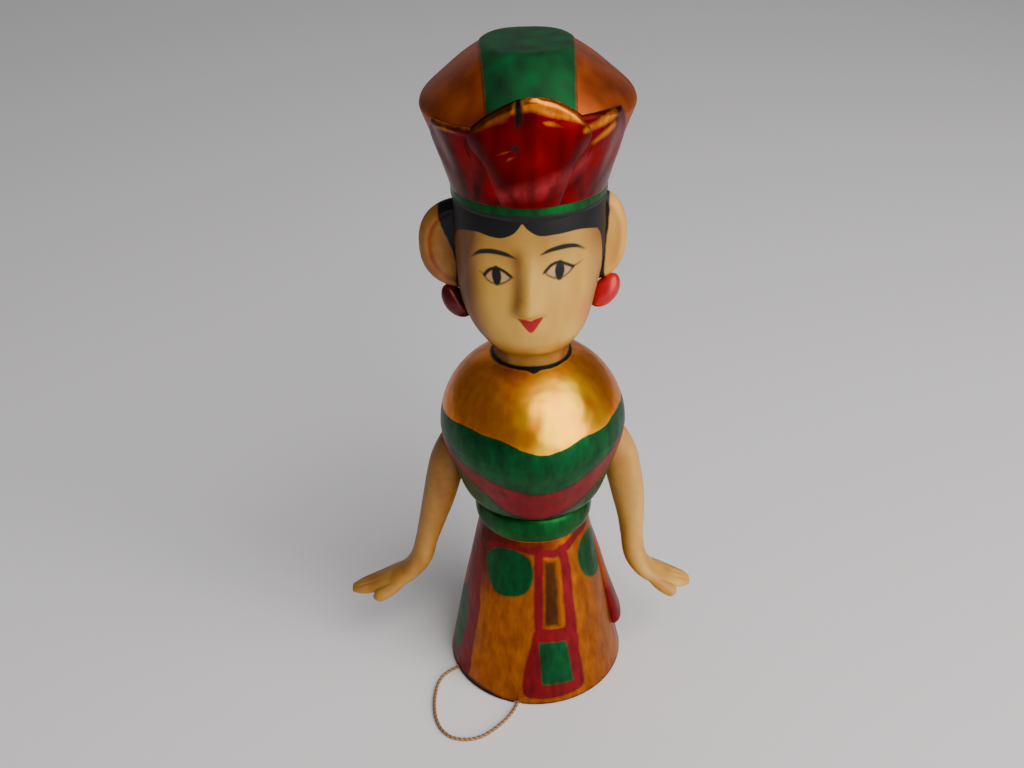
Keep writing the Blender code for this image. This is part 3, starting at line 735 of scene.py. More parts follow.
# %% [markdown]
# ### The loose end of the side sash
#
# At the figure's left hip the sash ends in a thick rounded tongue that stands off the skirt. Its section is
# a flattened loop, flat against the skirt inside and rounded outside, and it grows wider and prouder on its
# way down. A loop whose two halves pair up can be closed by strips at both ends.

# %% Sash end
FLAP_FOOT_HEIGHT = 10.5
FLAP_WIDTH = 10.0
FLAP_PROUD = 2.5
FLAP_SUNK = 1.5
FLAP_ANGLE = math.radians(92)
FLAP_COLUMNS = 56
FLAP_RINGS = 60
FLAP_RED_TOP = 25


def loop_angles(columns):
    """Angles round a section from its left end over the outside to the right end and back inside.

    Half a step in from the ends, so that each outside column has a partner just inside it.
    """
    return math.pi - (np.arange(columns) + 0.5) * 2 * math.pi / columns


def blunt(wave, power):
    """A wave raised to a power below 1 with its sign kept, which flattens its crests."""
    return np.sign(wave) * np.abs(wave) ** power


def level_points(angle, reach, height):
    """Points at angles from straight ahead (-Y) towards +X, at a distance from the axis and a height."""
    shape = np.broadcast(angle, reach, height)
    parts = (reach * np.sin(angle), -reach * np.cos(angle), height)
    return np.stack([np.broadcast_to(part, shape.shape) for part in parts], axis=-1)


course = smooth_through(
    [(0.0, -0.1, 0.5), (0.25, 0.22, 0.6), (0.55, 0.45, 0.75), (0.82, 0.85, 0.95), (0.95, 1.0, 1.0),
     (1.0, 0.6, 0.9)],
    FLAP_RINGS,
)
share, proud, width = (column[:, None] for column in course.T)
height = between(0.9 * ROLL_FOOT_HEIGHT, FLAP_FOOT_HEIGHT, share)
loop = loop_angles(FLAP_COLUMNS)
half = 0.5 * width * FLAP_WIDTH / skirt_radius(height)
rise = np.where(np.sin(loop) > 0, proud * FLAP_PROUD, FLAP_SUNK) * blunt(np.sin(loop), 0.5)
flap_rings = level_points(FLAP_ANGLE + half * blunt(np.cos(loop), 0.7), skirt_radius(height) + rise, height)
sash_end = closed_skin("sash_end", flap_rings, "strips", "strips")
x, y, z = places(sash_end)
mark(sash_end, "end", z - FLAP_RED_TOP)
sash_paint = painted("sash lacquer", COPPER, [("end", 3.0, *RED)], wobble=0.6)
settle(sash_end, sash_paint, "painted_wood", "figure")

# %% [markdown]
# ## The head
#
# Neck and head are one skin of oval rings whose front and back halves differ, so the jaw draws in under a
# broad skull. The features are carved as a relief that is added to the front: a long wedge of nose, a low
# swell of lips and chin, and two shallow hollows with lids, all leaning a little as the real face does.
# Sculpting by hand would work too, but each feature here is one bell-shaped term with its own size.

# %% Sizes of the head
CHIN_HEIGHT = 101.3
BAND_FOOT_HEIGHT = 137.2
BAND_DEPTH = 3.4
NECK_RADIUS = 9.0
HEAD_HALF_WIDTH = 17.1
NOSE_LENGTH = 12.5
NOSE_PROUD = 3.2
JAW_SHIFT = 0.6
FACE_TILT = math.tan(math.radians(3.5))
SKULL = BAND_FOOT_HEIGHT - CHIN_HEIGHT
NOSE_TIP = 0.41 * SKULL
BRIDGE_TOP = 134.0
EYE_LEVEL = 0.65 * SKULL
EYE_ASIDE = 0.40 * HEAD_HALF_WIDTH
FACE_BELLS = {
    "nostrils": (0.5, NOSE_TIP + 0.8, 1.5, 2.3, 1.1),
    "lips": (0.5, 0.27 * SKULL, 2.2, 0.0, 3.4),
    "chin": (0.45, 0.10 * SKULL, 2.6, 0.0, 4.5),
    "cheeks": (0.35, 0.42 * SKULL, 4.5, 9.0, 4.0),
    "eye sockets": (-0.77, EYE_LEVEL, 4.3, EYE_ASIDE, 4.1),
    "eyelids": (0.34, EYE_LEVEL, 1.9, EYE_ASIDE, 3.0),
}
HEAD_OVALS = [
    (0.04, 0.66, 0.76, 0.72), (0.15, 0.80, 0.90, 0.86), (0.30, 0.90, 0.97, 0.97), (0.50, 0.97, 0.99, 1.04),
    (0.75, 1.00, 1.01, 1.06), (1.00, 0.985, 1.01, 1.04),
]
HEAD_SQUARENESS = 2.2
HEAD_COLUMNS = 300
HEAD_RINGS = 230


def oval_reach(angle, half_width, depth, squareness):
    """Distance from the middle of an oval to its edge, at an angle from straight ahead.

    On the oval the shares of half width and depth, each raised to the squareness, add up to 1.
    """
    across = np.abs(np.sin(angle) / half_width) ** squareness
    ahead = np.abs(np.cos(angle) / depth) ** squareness
    return (across + ahead) ** (-1 / squareness)


def face_relief(across, height):
    """How far the face stands out at each place, in millimetres: bells, a wedge of nose and its bridge.

    Each bell has its height, its place above the chin and its reach up and down, its place to both sides of
    the middle and its reach across.
    """
    height = height - across * FACE_TILT
    up = height - CHIN_HEIGHT
    along = np.clip((NOSE_TIP + NOSE_LENGTH - up) / NOSE_LENGTH, 0, 1)
    under = ease(1 - (NOSE_TIP - up) / (0.09 * SKULL))
    nose_half = between(0.10, 0.165, along) * HEAD_HALF_WIDTH
    nose = NOSE_PROUD * along * under * hump(across, nose_half)
    bridge = 0.35 * hump(across, 2.2) * ease((up - NOSE_TIP - 8) / 6) * ease((BRIDGE_TOP - height) / 6)
    return nose + bridge + sum(
        proud * hump(up - level, reach_up) * hump(np.abs(across) - aside, reach_across)
        for proud, level, reach_up, aside, reach_across in FACE_BELLS.values()
    )


def head_rings():
    """Rings from inside the bust up into the hat, with closer columns in front."""
    wide = HEAD_HALF_WIDTH
    stations = [
        (BUST_HEIGHT + 0.75 * DOME_RISE, NECK_RADIUS, NECK_RADIUS, NECK_RADIUS),
        (CHIN_HEIGHT - 0.11 * SKULL, NECK_RADIUS, NECK_RADIUS, 1.02 * NECK_RADIUS),
        (CHIN_HEIGHT - 0.04 * SKULL, 1.06 * NECK_RADIUS, 1.06 * NECK_RADIUS, 1.12 * NECK_RADIUS),
        *((CHIN_HEIGHT + up * SKULL, *(share * wide for share in oval)) for up, *oval in HEAD_OVALS),
        (BAND_FOOT_HEIGHT + 1.5 * BAND_DEPTH, 0.93 * wide, 0.95 * wide, 0.98 * wide),
    ]
    turn = np.linspace(-1, 1, HEAD_COLUMNS, endpoint=False)
    angle = math.pi * turn * (0.6 + 0.4 * turn ** 2)
    height, half_width, front, back = (column[:, None] for column in smooth_through(stations, HEAD_RINGS).T)
    depth = np.where(np.cos(angle) > 0, front, back)
    rings = level_points(angle, oval_reach(angle, half_width, depth, HEAD_SQUARENESS), height)
    rings[..., 1] -= np.where(rings[..., 1] < 0, face_relief(rings[..., 0], rings[..., 2]), 0)
    rings[..., 0] -= JAW_SHIFT * hump(rings[..., 2] - CHIN_HEIGHT - 0.33 * SKULL, 7.0)
    return rings


head = closed_skin("head", head_rings())

# %% [markdown]
# ### Painting the face
#
# The skin is cream. Ochre round the edge of the face is partly the doll's own paint and partly painted
# shade, which is deeper on the side away from the light; painted shade also darkens the skin under the chin
# and on the neck, beside the nose and under the hat. Black hair shows as two shallow scallops that meet in a
# point, with a thin lock before each ear. Eyes, brows and mouth are a few brush strokes. They are drawn on
# the unrolled
# head: millimetres of arc to each side, and height.

# %% Paint the face
FACE_RADIUS = 17.3
HAIRLINE = [
    (-180, 108.4), (-158, 108.8), (-140, 110.6), (-120, 114), (-100, 118), (-89, 119.8), (-81, 122),
    (-74, 127.2), (-66, 130.6),
    (-55, 132.2), (-40, 133.2), (-28, 132.8), (-20, 132.8), (-12, 133.8), (-7.7, 135.2), (-5, 136.2),
    (-1.6, 135), (3.4, 133.9), (8.6, 133.4), (19, 133.5), (36, 133.6), (51, 132.5), (58, 131.4),
    (64, 128.6), (72, 121.4), (80, 119.8), (100, 118), (120, 114), (140, 110.6),
    (158, 108.8), (180, 108.4),
]
BROWS = [
    [(-46, 126.8, 0.1), (-38, 128.6, 0.45), (-28, 129.4, 0.62), (-18, 129.1, 0.55), (-10, 128.2, 0.15)],
    [(7.5, 129.1, 0.15), (15, 130.0, 0.5), (25, 130.4, 0.62), (34, 130.0, 0.42), (43, 128.5, 0.1)],
]
EYES = [
    [(-35.3, 123.2), (-31, 124.7), (-25.3, 125.4), (-19.5, 124.9), (-14, 123.7), (-19, 122.2),
     (-25.2, 121.5), (-31, 121.9)],
    [(10.6, 124.9), (15.4, 126.3), (21, 126.8), (27, 126.1), (32.6, 125.1), (27, 123.4), (21.4, 122.9),
     (15.4, 123.5)],
]
IRISES = [
    [(-25.3, 125.2, 0.8), (-25.3, 123.6, 1.15), (-25.3, 122.0, 0.8)],
    [(22.0, 126.5, 0.8), (22.0, 124.8, 1.15), (22.0, 123.2, 0.8)],
]
LASHES = [
    [(-34.5, 123.3, 0.22), (-39.5, 123.9, 0.06)],
    [(31.5, 125.3, 0.24), (36, 125.5, 0.18), (41, 126.2, 0.05)],
    [(11.2, 124.9, 0.2), (8.8, 124.5, 0.08)],
    [(-14.6, 123.8, 0.2), (-12, 123.5, 0.08)],
]
MOUTH = [
    (-9.6, 113.9), (-5, 113.9), (-0.3, 113.1), (4, 113.8), (9.2, 113.9), (4.6, 111.5), (0, 110.0),
    (-4.6, 111.4),
]
SMILE = [(-6, 113.6, 0.2), (-10.5, 114.1, 0.05)], [(6, 113.6, 0.2), (11.5, 114.3, 0.05)]
LID_CORNERS = 5
LID_HALF_WIDTH = 0.4
EYE_OUTLINE = 0.2
THROAT_LINE = 96.9
FACE_SIDES = (30, 40)
SIDE_RUN = 26
THROAT_SHADE = (107, 101)
HAT_SHADE = (124, 133)
NOSE_SHADE = (0.75, -2.7, 1.5)
NOSE_SHADE_FOOT = (113, 119)
NOSE_SHADE_TOP = (132, 127)
BLUSHES = [(1.0, 47, 113), (0.5, -50, 112)]
BLUSH_REACH = (12, 5)

x, y, z = places(head)
around = np.degrees(np.arctan2(x, -y))
arc = np.radians(around) * FACE_RADIUS


def on_face(points):
    """Angles in degrees to millimetres of arc."""
    rows = np.array(points, dtype=float)
    rows[:, 0] = np.radians(rows[:, 0]) * FACE_RADIUS
    return rows


def strokes_on_face(strokes):
    """Signed distance of every point of the head to the nearest of some brush strokes."""
    return np.minimum.reduce([stroke_distance(arc, z, on_face(stroke)) for stroke in strokes])


eye_shapes = [outline_distance(arc, z, rounded(on_face(eye))) for eye in EYES]
eye_edge = np.minimum(*eye_shapes)
mark(head, "hair", border(around, HAIRLINE) - z)
mark(head, "eye_white", eye_edge)
mark(head, "ink", np.minimum.reduce([
    np.abs(eye_edge) - EYE_OUTLINE,
    strokes_on_face([[(*corner, LID_HALF_WIDTH) for corner in eye[:LID_CORNERS]] for eye in EYES]),
    strokes_on_face(IRISES),
    strokes_on_face(LASHES),
    strokes_on_face(BROWS),
    z - THROAT_LINE,
]))
mark(head, "mouth", np.minimum(outline_distance(arc, z, rounded(on_face(MOUTH))), strokes_on_face(SMILE)))
# Painted shade: ochre at the face's edges, heavier away from the light, under the chin, beside the nose and
# under the hat.
aside = ease((np.abs(around) - np.where(around < 0, *FACE_SIDES)) / SIDE_RUN)
low = ramp(z, *THROAT_SHADE)
nose_shadow = bell(arc, *NOSE_SHADE) * ramp(z, *NOSE_SHADE_FOOT) * ramp(z, *NOSE_SHADE_TOP)
hat_shadow = 0.46 * ramp(z, *HAT_SHADE)
away_from_light = 0.85 - 0.25 * np.sin(np.radians(around))
shade = np.clip(aside * away_from_light + 0.75 * low + nose_shadow + hat_shadow, 0, 1)
mark(head, "shade", 1.3 - 2.4 * shade)
blush = sum(
    bell(around, size, side, BLUSH_REACH[0]) * hump(z - level, BLUSH_REACH[1])
    for size, side, level in BLUSHES
)
mark(head, "blush", 1.3 - 1.6 * blush)

face_paint = painted(
    "face paint", CREAM,
    [
        ("shade", 1.3, *SHADE_OCHRE),
        ("blush", 1.0, *BLUSH),
        ("eye_white", 0.1, *EYE_WHITE),
        ("ink", 0.2, *INK),
        ("mouth", 0.14, *LIP),
        ("hair", 0.12, *BLACK),
    ],
    shine=0.25, wobble=0.06, dents=0.04,
)
settle(head, face_paint, "painted_wood", "figure")

# %% [markdown]
# ## Ears and ear drops
#
# The ears are big flat half discs that face forward, with a raised rim, a hollow, and a red line along the
# rim. Below each hangs a flat red drop. A sphere pulled flat would do from afar; here an ear is a disc of
# rings that grow from its middle in front, turn over at the rim and close again behind.

# %% Ears and drops
EAR_HEIGHT = 22.5
EAR_THICKNESS = 6.0
EAR_INSIDE = 0.2 * HEAD_HALF_WIDTH
EARS = {"right_ear": (-1, 8.3, 3.3, 1.0), "left_ear": (1, 5.0, 0.8, 0.3)}
EAR_FRONT_RINGS = 44
DROP_COLUMNS = 48
EAR_DROP_SIZE = 8.4
DROP_RINGS = 40
EAR_PLATEAU = 0.66
EAR_FOLD = 0.28
EAR_FOLD_AT = 0.85
EAR_FOLD_REACH = 0.1
EAR_HOLLOW = 0.42
EAR_HOLLOW_AT = 0.42
LOCK_FADE = (119, 132)
EAR_LEVEL = between(CHIN_HEIGHT, BAND_FOOT_HEIGHT, 0.66)
EAR_COLUMNS = 84


def ear_rings(side, reach, carving):
    """Rings from the middle of the front to the rim, and from the rim to the middle of the back.

    In front the thickness is a plateau that falls off at the rim, with a raised fold near the rim and a
    hollow towards the outside. Behind it is a plain plateau.
    """
    turn = np.linspace(0, 2 * math.pi, EAR_COLUMNS, endpoint=False)
    out = np.sin(np.linspace(0.02, math.pi / 2, EAR_FRONT_RINGS))[:, None]
    back = out[-2::-3]
    spread = np.vstack([out, back])
    across, up = spread * blunt(np.cos(turn), 0.85), spread * blunt(np.sin(turn), 0.85)
    plateau = EAR_PLATEAU * np.sqrt(1 - out ** 8)
    fold = EAR_FOLD * carving * hump(out - EAR_FOLD_AT, EAR_FOLD_REACH)
    in_front = slice(EAR_FRONT_RINGS)
    from_hollow = np.hypot(across[in_front] - EAR_HOLLOW_AT, up[in_front] * 0.8)
    hollow = EAR_HOLLOW * carving * hump(from_hollow, 0.4)
    behind = 0.85 * np.sqrt(1 - back ** 5) * np.ones(EAR_COLUMNS)
    deep = np.vstack([hollow - plateau - fold, behind]) * EAR_THICKNESS / 2 + 0.05 * HEAD_HALF_WIDTH
    middle = HEAD_HALF_WIDTH - EAR_INSIDE
    level = EAR_LEVEL + side * middle * FACE_TILT
    return np.stack(
        [side * (middle + across * (reach + EAR_INSIDE)), deep, level + up * EAR_HEIGHT / 2], axis=-1
    ), spread * np.ones(EAR_COLUMNS)


def drop_rings(side):
    """Rings of a flat drop: circles squeezed front to back, with a slightly pointed top."""
    fall = np.linspace(0.03, math.pi - 0.03, DROP_RINGS)[:, None]
    turn = np.linspace(0, 2 * math.pi, DROP_COLUMNS, endpoint=False)
    girth = np.sin(fall) * (1 - 0.12 * np.cos(fall))
    across = side * 1.02 * HEAD_HALF_WIDTH
    level = EAR_LEVEL - 0.5 * EAR_HEIGHT - 0.33 * EAR_DROP_SIZE + across * FACE_TILT
    lean = side * 0.2 * EAR_DROP_SIZE * np.cos(fall)
    return np.stack([
        across + lean + 0.38 * EAR_DROP_SIZE * girth * np.cos(turn),
        0.34 * EAR_DROP_SIZE * girth * np.sin(turn),
        level + 0.5 * EAR_DROP_SIZE * np.cos(fall) * np.ones(DROP_COLUMNS),
    ], axis=-1)


EAR_OCHRE = (colour(178, 116, 42), colour(216, 158, 74), 0.0, 0.42)
EAR_LINE = (colour(96, 16, 6), colour(138, 40, 14), 0.0, 0.42)
ear_paint = painted(
    "ear paint", EAR_OCHRE,
    [("shade", 1.2, *SHADE_OCHRE), ("red_line", 0.7, *EAR_LINE), ("hair", 0.2, *BLACK)],
    shine=0.25, wobble=0.3, dents=0.06,
)
DROP_RED = (colour(146, 6, 18), colour(210, 22, 34), 0.2, 0.34)
# Maroon painted shade for the drops.
DROP_SHADE_MAROON = (colour(58, 2, 8), colour(104, 6, 16), 0.4, 0.34)
drop_paint = painted("drop lacquer", DROP_RED, [("maroon", 1.0, *DROP_SHADE_MAROON)], coat=0.15)
for ear_name, (side, reach, lock, carving) in EARS.items():
    rings, spread = ear_rings(side, reach, carving)
    ear = closed_skin(ear_name, rings)
    x, y, z = places(ear)
    spread = np.append(spread.ravel(), [0.0, 0.0])
    mark(ear, "red_line", 11 * np.abs(spread - 0.78) - 0.2 + 9 * (y > 1.5) + 1.2 * (1 - carving))
    # Painted shade: the ear on the side away from the light is ochre all over.
    mark(ear, "shade", np.full(len(x), 1.3 if side > 0 else -0.4))
    mark(ear, "hair", np.abs(x) - HEAD_HALF_WIDTH - lock * ramp(z, *LOCK_FADE))
    settle(ear, ear_paint, "painted_wood", "figure")
    drop = closed_skin(ear_name + "_drop", drop_rings(side))
    x, y, z = places(drop)
    # Painted shade: the drop on the side away from the light is maroon, and the other darkens a little at
    # its foot.
    mark(drop, "maroon", 3 * side + 0.6 * (z - z.mean()))
    settle(drop, drop_paint, "painted_wood", "figure")

# %% [markdown]
# ## The hat
#
# The hat flares from a thin green band up to a rim, and closes over a sloping roof to a small flat top. Its
# rings are slightly squared ovals, whose half width and depth both follow how far the hat has spread. The
# wood is one turned and filed piece, painted in a copper lacquer.

# %% Hat
CROWN_TIP_HEIGHT = 164.8
RIM_HEIGHT = 157.3
RIM_RADIUS = 23.0
ROOF_RADIUS = 9.6
BAND_PROUD = 0.3
STRAP_PROUD = 0.6
HAT_SQUARENESS = 2.1
HAT_COLUMNS = 240
BAND_TOP = BAND_FOOT_HEIGHT + BAND_DEPTH
ROOF_IN = (RIM_RADIUS - ROOF_RADIUS) / (RIM_RADIUS - HEAD_HALF_WIDTH)
ROOF_RISE = FIGURE_HEIGHT - STRAP_PROUD - RIM_HEIGHT


def flare(share):
    """How far the hat has spread at a share of its height from band to rim."""
    return share * (0.92 + 0.08 * share)


def hat_ovals(outward, offset=0.0):
    """Half width and depth of the hat where it has spread by a share of the way from head to rim."""
    half_width = between(HEAD_HALF_WIDTH, RIM_RADIUS, outward) + offset
    depth = between(1.03 * HEAD_HALF_WIDTH, 0.98 * RIM_RADIUS, outward) + offset
    return half_width, depth


BAND_STATIONS = [(-0.6, -1.0), (0.0, 0.0), (0.2, BAND_PROUD), (0.8, BAND_PROUD)]
FLARE_STATIONS = (0.04, 0.2, 0.38, 0.55, 0.7, 0.84, 0.95)
ROOF_STATIONS = [
    (0.06, 0.0, 2.1), (0.22, 0.08, 2.1), (0.48, 0.35, 2.2), (0.75, 0.66, 2.4), (0.96, 0.97, 2.6),
    (1.0, 1.08, 2.6),
]
HAT_RINGS = 170
hat_course = smooth_through(
    [(BAND_FOOT_HEIGHT + up * BAND_DEPTH, 0.0, offset, HAT_SQUARENESS) for up, offset in BAND_STATIONS]
    + [(between(BAND_TOP, RIM_HEIGHT, up), flare(up), 0.0, HAT_SQUARENESS) for up in FLARE_STATIONS]
    + [(RIM_HEIGHT + up * ROOF_RISE, 1 - back * ROOF_IN, 0.0, square) for up, back, square in ROOF_STATIONS],
    HAT_RINGS,
)
hat_course[:, 0] = np.maximum.accumulate(hat_course[:, 0])

angle = np.linspace(-math.pi, math.pi, HAT_COLUMNS, endpoint=False)
height, outward, offset, squareness = (column[:, None] for column in hat_course.T)
half_width, depth = hat_ovals(outward, offset)
hat = closed_skin("hat", level_points(angle, oval_reach(angle, half_width, depth, squareness), height))
x, y, z = places(hat)
mark(hat, "band", np.maximum(z - BAND_TOP - 1.3, BAND_FOOT_HEIGHT + 0.9 - z))
mark(hat, "dark", np.minimum(np.abs(z - BAND_TOP - 1.4) - 0.3, z - BAND_FOOT_HEIGHT - 1.2))
hat_paint = painted(
    "hat lacquer", COPPER, [("band", 0.15, *BRIGHT_GREEN), ("dark", 0.15, *BLACK)]
)
settle(hat, hat_paint, "painted_wood", "figure")

# %% [markdown]
# ### The strap over the hat
#
# A flat green strap runs over the hat from front to back. Its outline has to follow the hat exactly, so for
# each column of the strap the hat is cut at that distance from the middle. Seen from a point inside, the
# cut is star shaped, so every place on it is given by one angle and one reach, which are read off the cut.
# The strap's section is then a flattened loop that stands a little proud of the reach.

# %% Strap
STRAP_FOOT = between(BAND_FOOT_HEIGHT, RIM_HEIGHT, 0.4)
STRAP_MIDDLE = RIM_HEIGHT - 7.0
STRAP_LEFT = (-7.6, -10.3, -9.5)
STRAP_RIGHT = (9.6, 10.1, 9.5)
STRAP_COLUMNS = 64
STRAP_RINGS = 150
STRAP_SUNK = 0.8
STRAP_FOOT_REACH = 20.0
TOP_STEPS = 20
LANES = np.linspace(-11, 11, 45)


def cut_reach(across, sweep):
    """How far the hat reaches from its inner point at sweep angles, in a cut at a distance from the middle.

    Each ring of the hat crosses the cut where the shares of half width and depth add up to 1.
    """
    free = 1 - np.minimum(np.abs(across) / half_width[:, 0], 1) ** squareness[:, 0]
    reach = depth[:, 0] * free ** (1 / squareness[:, 0])
    crossing = free > 0
    front = np.stack([reach[crossing], height[crossing, 0] - STRAP_MIDDLE], axis=1)
    flat_top = front[-1] * np.stack([np.linspace(0.95, 0, TOP_STEPS), np.ones(TOP_STEPS)], axis=1)
    front = np.vstack([front, flat_top])
    direction = np.arctan2(front[:, 1], front[:, 0])
    order = np.argsort(direction)
    folded = np.where(sweep > math.pi / 2, math.pi - sweep, sweep)
    return np.interp(folded, direction[order], np.hypot(*front.T)[order])


loop = loop_angles(STRAP_COLUMNS)
foot_sweep = math.atan2(STRAP_FOOT - STRAP_MIDDLE, STRAP_FOOT_REACH)
sweep = np.linspace(foot_sweep, math.pi - foot_sweep, STRAP_RINGS)
left_edge, right_edge = (
    np.interp(sweep, (0, math.pi / 2, math.pi), edge)[:, None] for edge in (STRAP_LEFT, STRAP_RIGHT)
)
strap_across = between(left_edge, right_edge, 0.5 + 0.5 * blunt(np.cos(loop), 0.6))
lane_reach = np.stack([cut_reach(across, sweep) for across in LANES], axis=1)
reach = np.stack([np.interp(row, LANES, table) for row, table in zip(strap_across, lane_reach)])
reach += np.where(np.sin(loop) > 0, STRAP_PROUD, STRAP_SUNK) * blunt(np.sin(loop), 0.5)
strap_rings = np.stack([
    strap_across,
    -reach * np.cos(sweep)[:, None],
    STRAP_MIDDLE + reach * np.sin(sweep)[:, None],
], axis=-1)
hat_strap = closed_skin("hat_strap", strap_rings, "strips", "strips")
x, y, z = places(hat_strap)
edge_gap = np.minimum(strap_across - left_edge, right_edge - strap_across)
mark(hat_strap, "edge", edge_gap.ravel() - 0.25)
strap_paint = painted("strap paint", (*GREEN[:2], 0.5, 0.6), [("edge", 0.3, *COPPER)])
settle(hat_strap, strap_paint, "painted_wood", "figure")

# %% [markdown]
# ### The petals of the crown
#
# Three broad petals stand on the front of the hat: the two side ones first, and the pointed middle one over
# them. Their wood is carved in shallow flutes that fan out from the foot, and a raised rim catches the
# light. They are glazed red over metal, with gold rims, and the middle one has a black stroke at its tip.
# Painted light lies over the glaze: gold streaks and a wider gold rim where glints fall, a rosy painted
# sheen low on the middle petal, and painted shade on the rim's left half, along the flutes and the edges.
# Each ring follows the hat's own oval out and comes back a little deeper.

# %% Petals
PETAL_THICKNESS = 1.8
PETAL_COLUMNS = 132
PETAL_RINGS = 96
PETAL_FOOT = BAND_FOOT_HEIGHT + 0.9 * BAND_DEPTH
WIDE_GILDING = 1.7
FLUTE_DEPTH = 0.2
FLUTE_TURN = 13
PETAL_RIM = (0.28, 0.9, 0.8)
LIT_SIDE = (1.1, 4, 5)
PETALS = {
    "left_petal": (160.2, 0.8, 45, -0.6, [(0.0, 10, 76), (0.4, 12, 72), (0.75, 14, 63), (1.0, 22, 53)]),
    "right_petal": (158.0, 0.8, -45, 0.2, [
        (0.0, -76, -10), (0.4, -73, -12), (0.75, -67, -14), (1.0, -58, -30),
    ]),
    "middle_petal": (CROWN_TIP_HEIGHT, 1.5, 1, WIDE_GILDING, [
        (0.0, -22, 24), (0.3, -30, 31), (0.6, -34, 35), (0.8, -24, 28), (0.94, -10, 16), (1.0, 0, 5),
    ]),
}
# Gold strokes laid where glints fall on the petals: painted highlights.
GLINT_STREAKS = [
    [(11.4, 157.2, 0.4), (15, 158.3, 0.8), (18.2, 159.3, 0.7)],
    [(14.2, 154.1, 0.3), (16.5, 155.6, 0.6), (18.4, 156.8, 0.6)],
    [(2.8, 160.0, -0.3), (4.6, 159.5, 0.15), (6.6, 158.7, -0.3)],
    [(-6.8, 152.7, -0.4), (-4.6, 153.6, -0.2), (-2.4, 154.3, -0.5)],
    [(-5.2, 151.3, -0.4), (-3.4, 152.4, -0.15), (-1.7, 153.2, -0.5)],
    [(-22, 156.5, -0.3), (-18, 156.9, 0.1), (-14.4, 156.6, -0.3)],
]
SHEEN_STROKE = [(-7, 143.2, 0.6), (3, 145.2, 1.6), (9, 147.4, 1.5), (13.5, 150.4, 0.4)]
TIP_STROKES = [
    [(-1.8, 164.4, 0.7), (-1.7, 162.4, 0.9), (-1.9, 160.2, 0.7), (-2.2, 158.6, 0.2)],
    [(-2.6, 155.6, 0.3), (-2.6, 154.6, 0.7), (-2.4, 153.8, 0.3)],
]


def levelled(share, blend=0.12):
    """A share that rises evenly and then stays at 1, with a parabola over the blend to both sides."""
    bent = share - np.clip(share - 1 + blend, 0, 2 * blend) ** 2 / (4 * blend)
    return np.where(share > 1 + blend, 1.0, bent)


def petal_skin(name, top, proud, heading, gilding, edges):
    """A fluted petal with a raised rim, as a skin with its distances from the edge marked on it."""
    shown = 1.0 if gilding == WIDE_GILDING else 0.0
    course = smooth_through(edges, PETAL_RINGS)
    share, left, right = (column[:, None] for column in course.T)
    height = between(PETAL_FOOT, top, share)
    loop = loop_angles(PETAL_COLUMNS)
    angle = np.radians(between(left, right, 0.5 + 0.5 * blunt(np.cos(loop), 0.8)))
    spread = levelled((height - PETAL_FOOT) / (RIM_HEIGHT - PETAL_FOOT))
    half_width, depth = hat_ovals(flare(spread))
    reach = oval_reach(angle, half_width, depth, HAT_SQUARENESS)

    edge_line = [(left[:, 0], course), (right[::-1, 0], course[::-1])]
    outline = np.vstack([
        np.stack([np.radians(side) * RIM_RADIUS, between(PETAL_FOOT, top, rows[:, 0])], axis=1)
        for side, rows in edge_line
    ])
    outline[[0, -1], 1] -= 4.0
    edge = -outline_distance(angle * RIM_RADIUS, height + 0 * angle, outline)
    fan = np.arctan2(angle - math.radians(heading), (height - PETAL_FOOT + 6) / RIM_RADIUS)
    wave = np.cos(FLUTE_TURN * fan)
    flutes = FLUTE_DEPTH * wave * ease(edge / 3) * ease((height - PETAL_FOOT - 3) / 8)
    rim = bell(edge, *PETAL_RIM) * ease((share - 0.45) / 0.3)
    outside = np.sin(loop) > 0
    end = np.sqrt(np.clip((1.004 - share) / 0.03, 0.02, 1))
    flank = 0.65 + 0.75 * shown * ramp(share, 0.75, 0.25)
    outer = (proud + 0.3 + rim + flutes) * np.abs(np.sin(loop)) ** flank
    inner = PETAL_THICKNESS * (1.6 - 0.6 * share) * np.abs(np.sin(loop)) ** 0.4
    away = np.where(outside, proud - 0.3 + (outer - proud) * end, proud - 0.3 - inner * end)
    petal = closed_skin(name, level_points(angle, reach + away, height), "strips", "strips")
    x, y, z = places(petal)
    arc = np.arctan2(x, -y) * RIM_RADIUS
    low_down = 3.2 * ease((0.86 - share) / 0.3)
    # Painted highlight: the gold rim is wider on the lit right half of the middle petal.
    lit_side = shown * bell(angle * RIM_RADIUS, *LIT_SIDE)
    mark(petal, "gold_rim", (edge - gilding - lit_side + low_down).ravel())
    # Painted shade: the rim darkens to olive on the middle petal's left half, away from the light.
    off_side = 9 * ramp(arc, -4, 0) + 9 * (1 - shown)
    mark(petal, "olive_rim", (edge - 2.6 + low_down).ravel() + off_side)
    # Dark veins along the flute valleys, with painted shade along the overlapping edges and on the side
    # turned from the light.
    turned_from_light = 0.8 * ramp(angle * RIM_RADIUS, -5, -17)
    flute_veins_and_shade = 0.35 - 0.6 * wave + 1.0 * ease(edge / 3) * share - turned_from_light
    mark(petal, "veins", np.minimum(flute_veins_and_shade, edge - 0.7).ravel())
    # Painted sheen: a rosy stroke low on the middle petal.
    mark(petal, "rosy", stroke_distance(arc, z, SHEEN_STROKE))
    mark(petal, "gold_streak", np.minimum.reduce([stroke_distance(arc, z, line) for line in GLINT_STREAKS]))
    mark(petal, "tip_stroke", np.minimum(*(stroke_distance(arc, z, line) for line in TIP_STROKES)))
    return petal


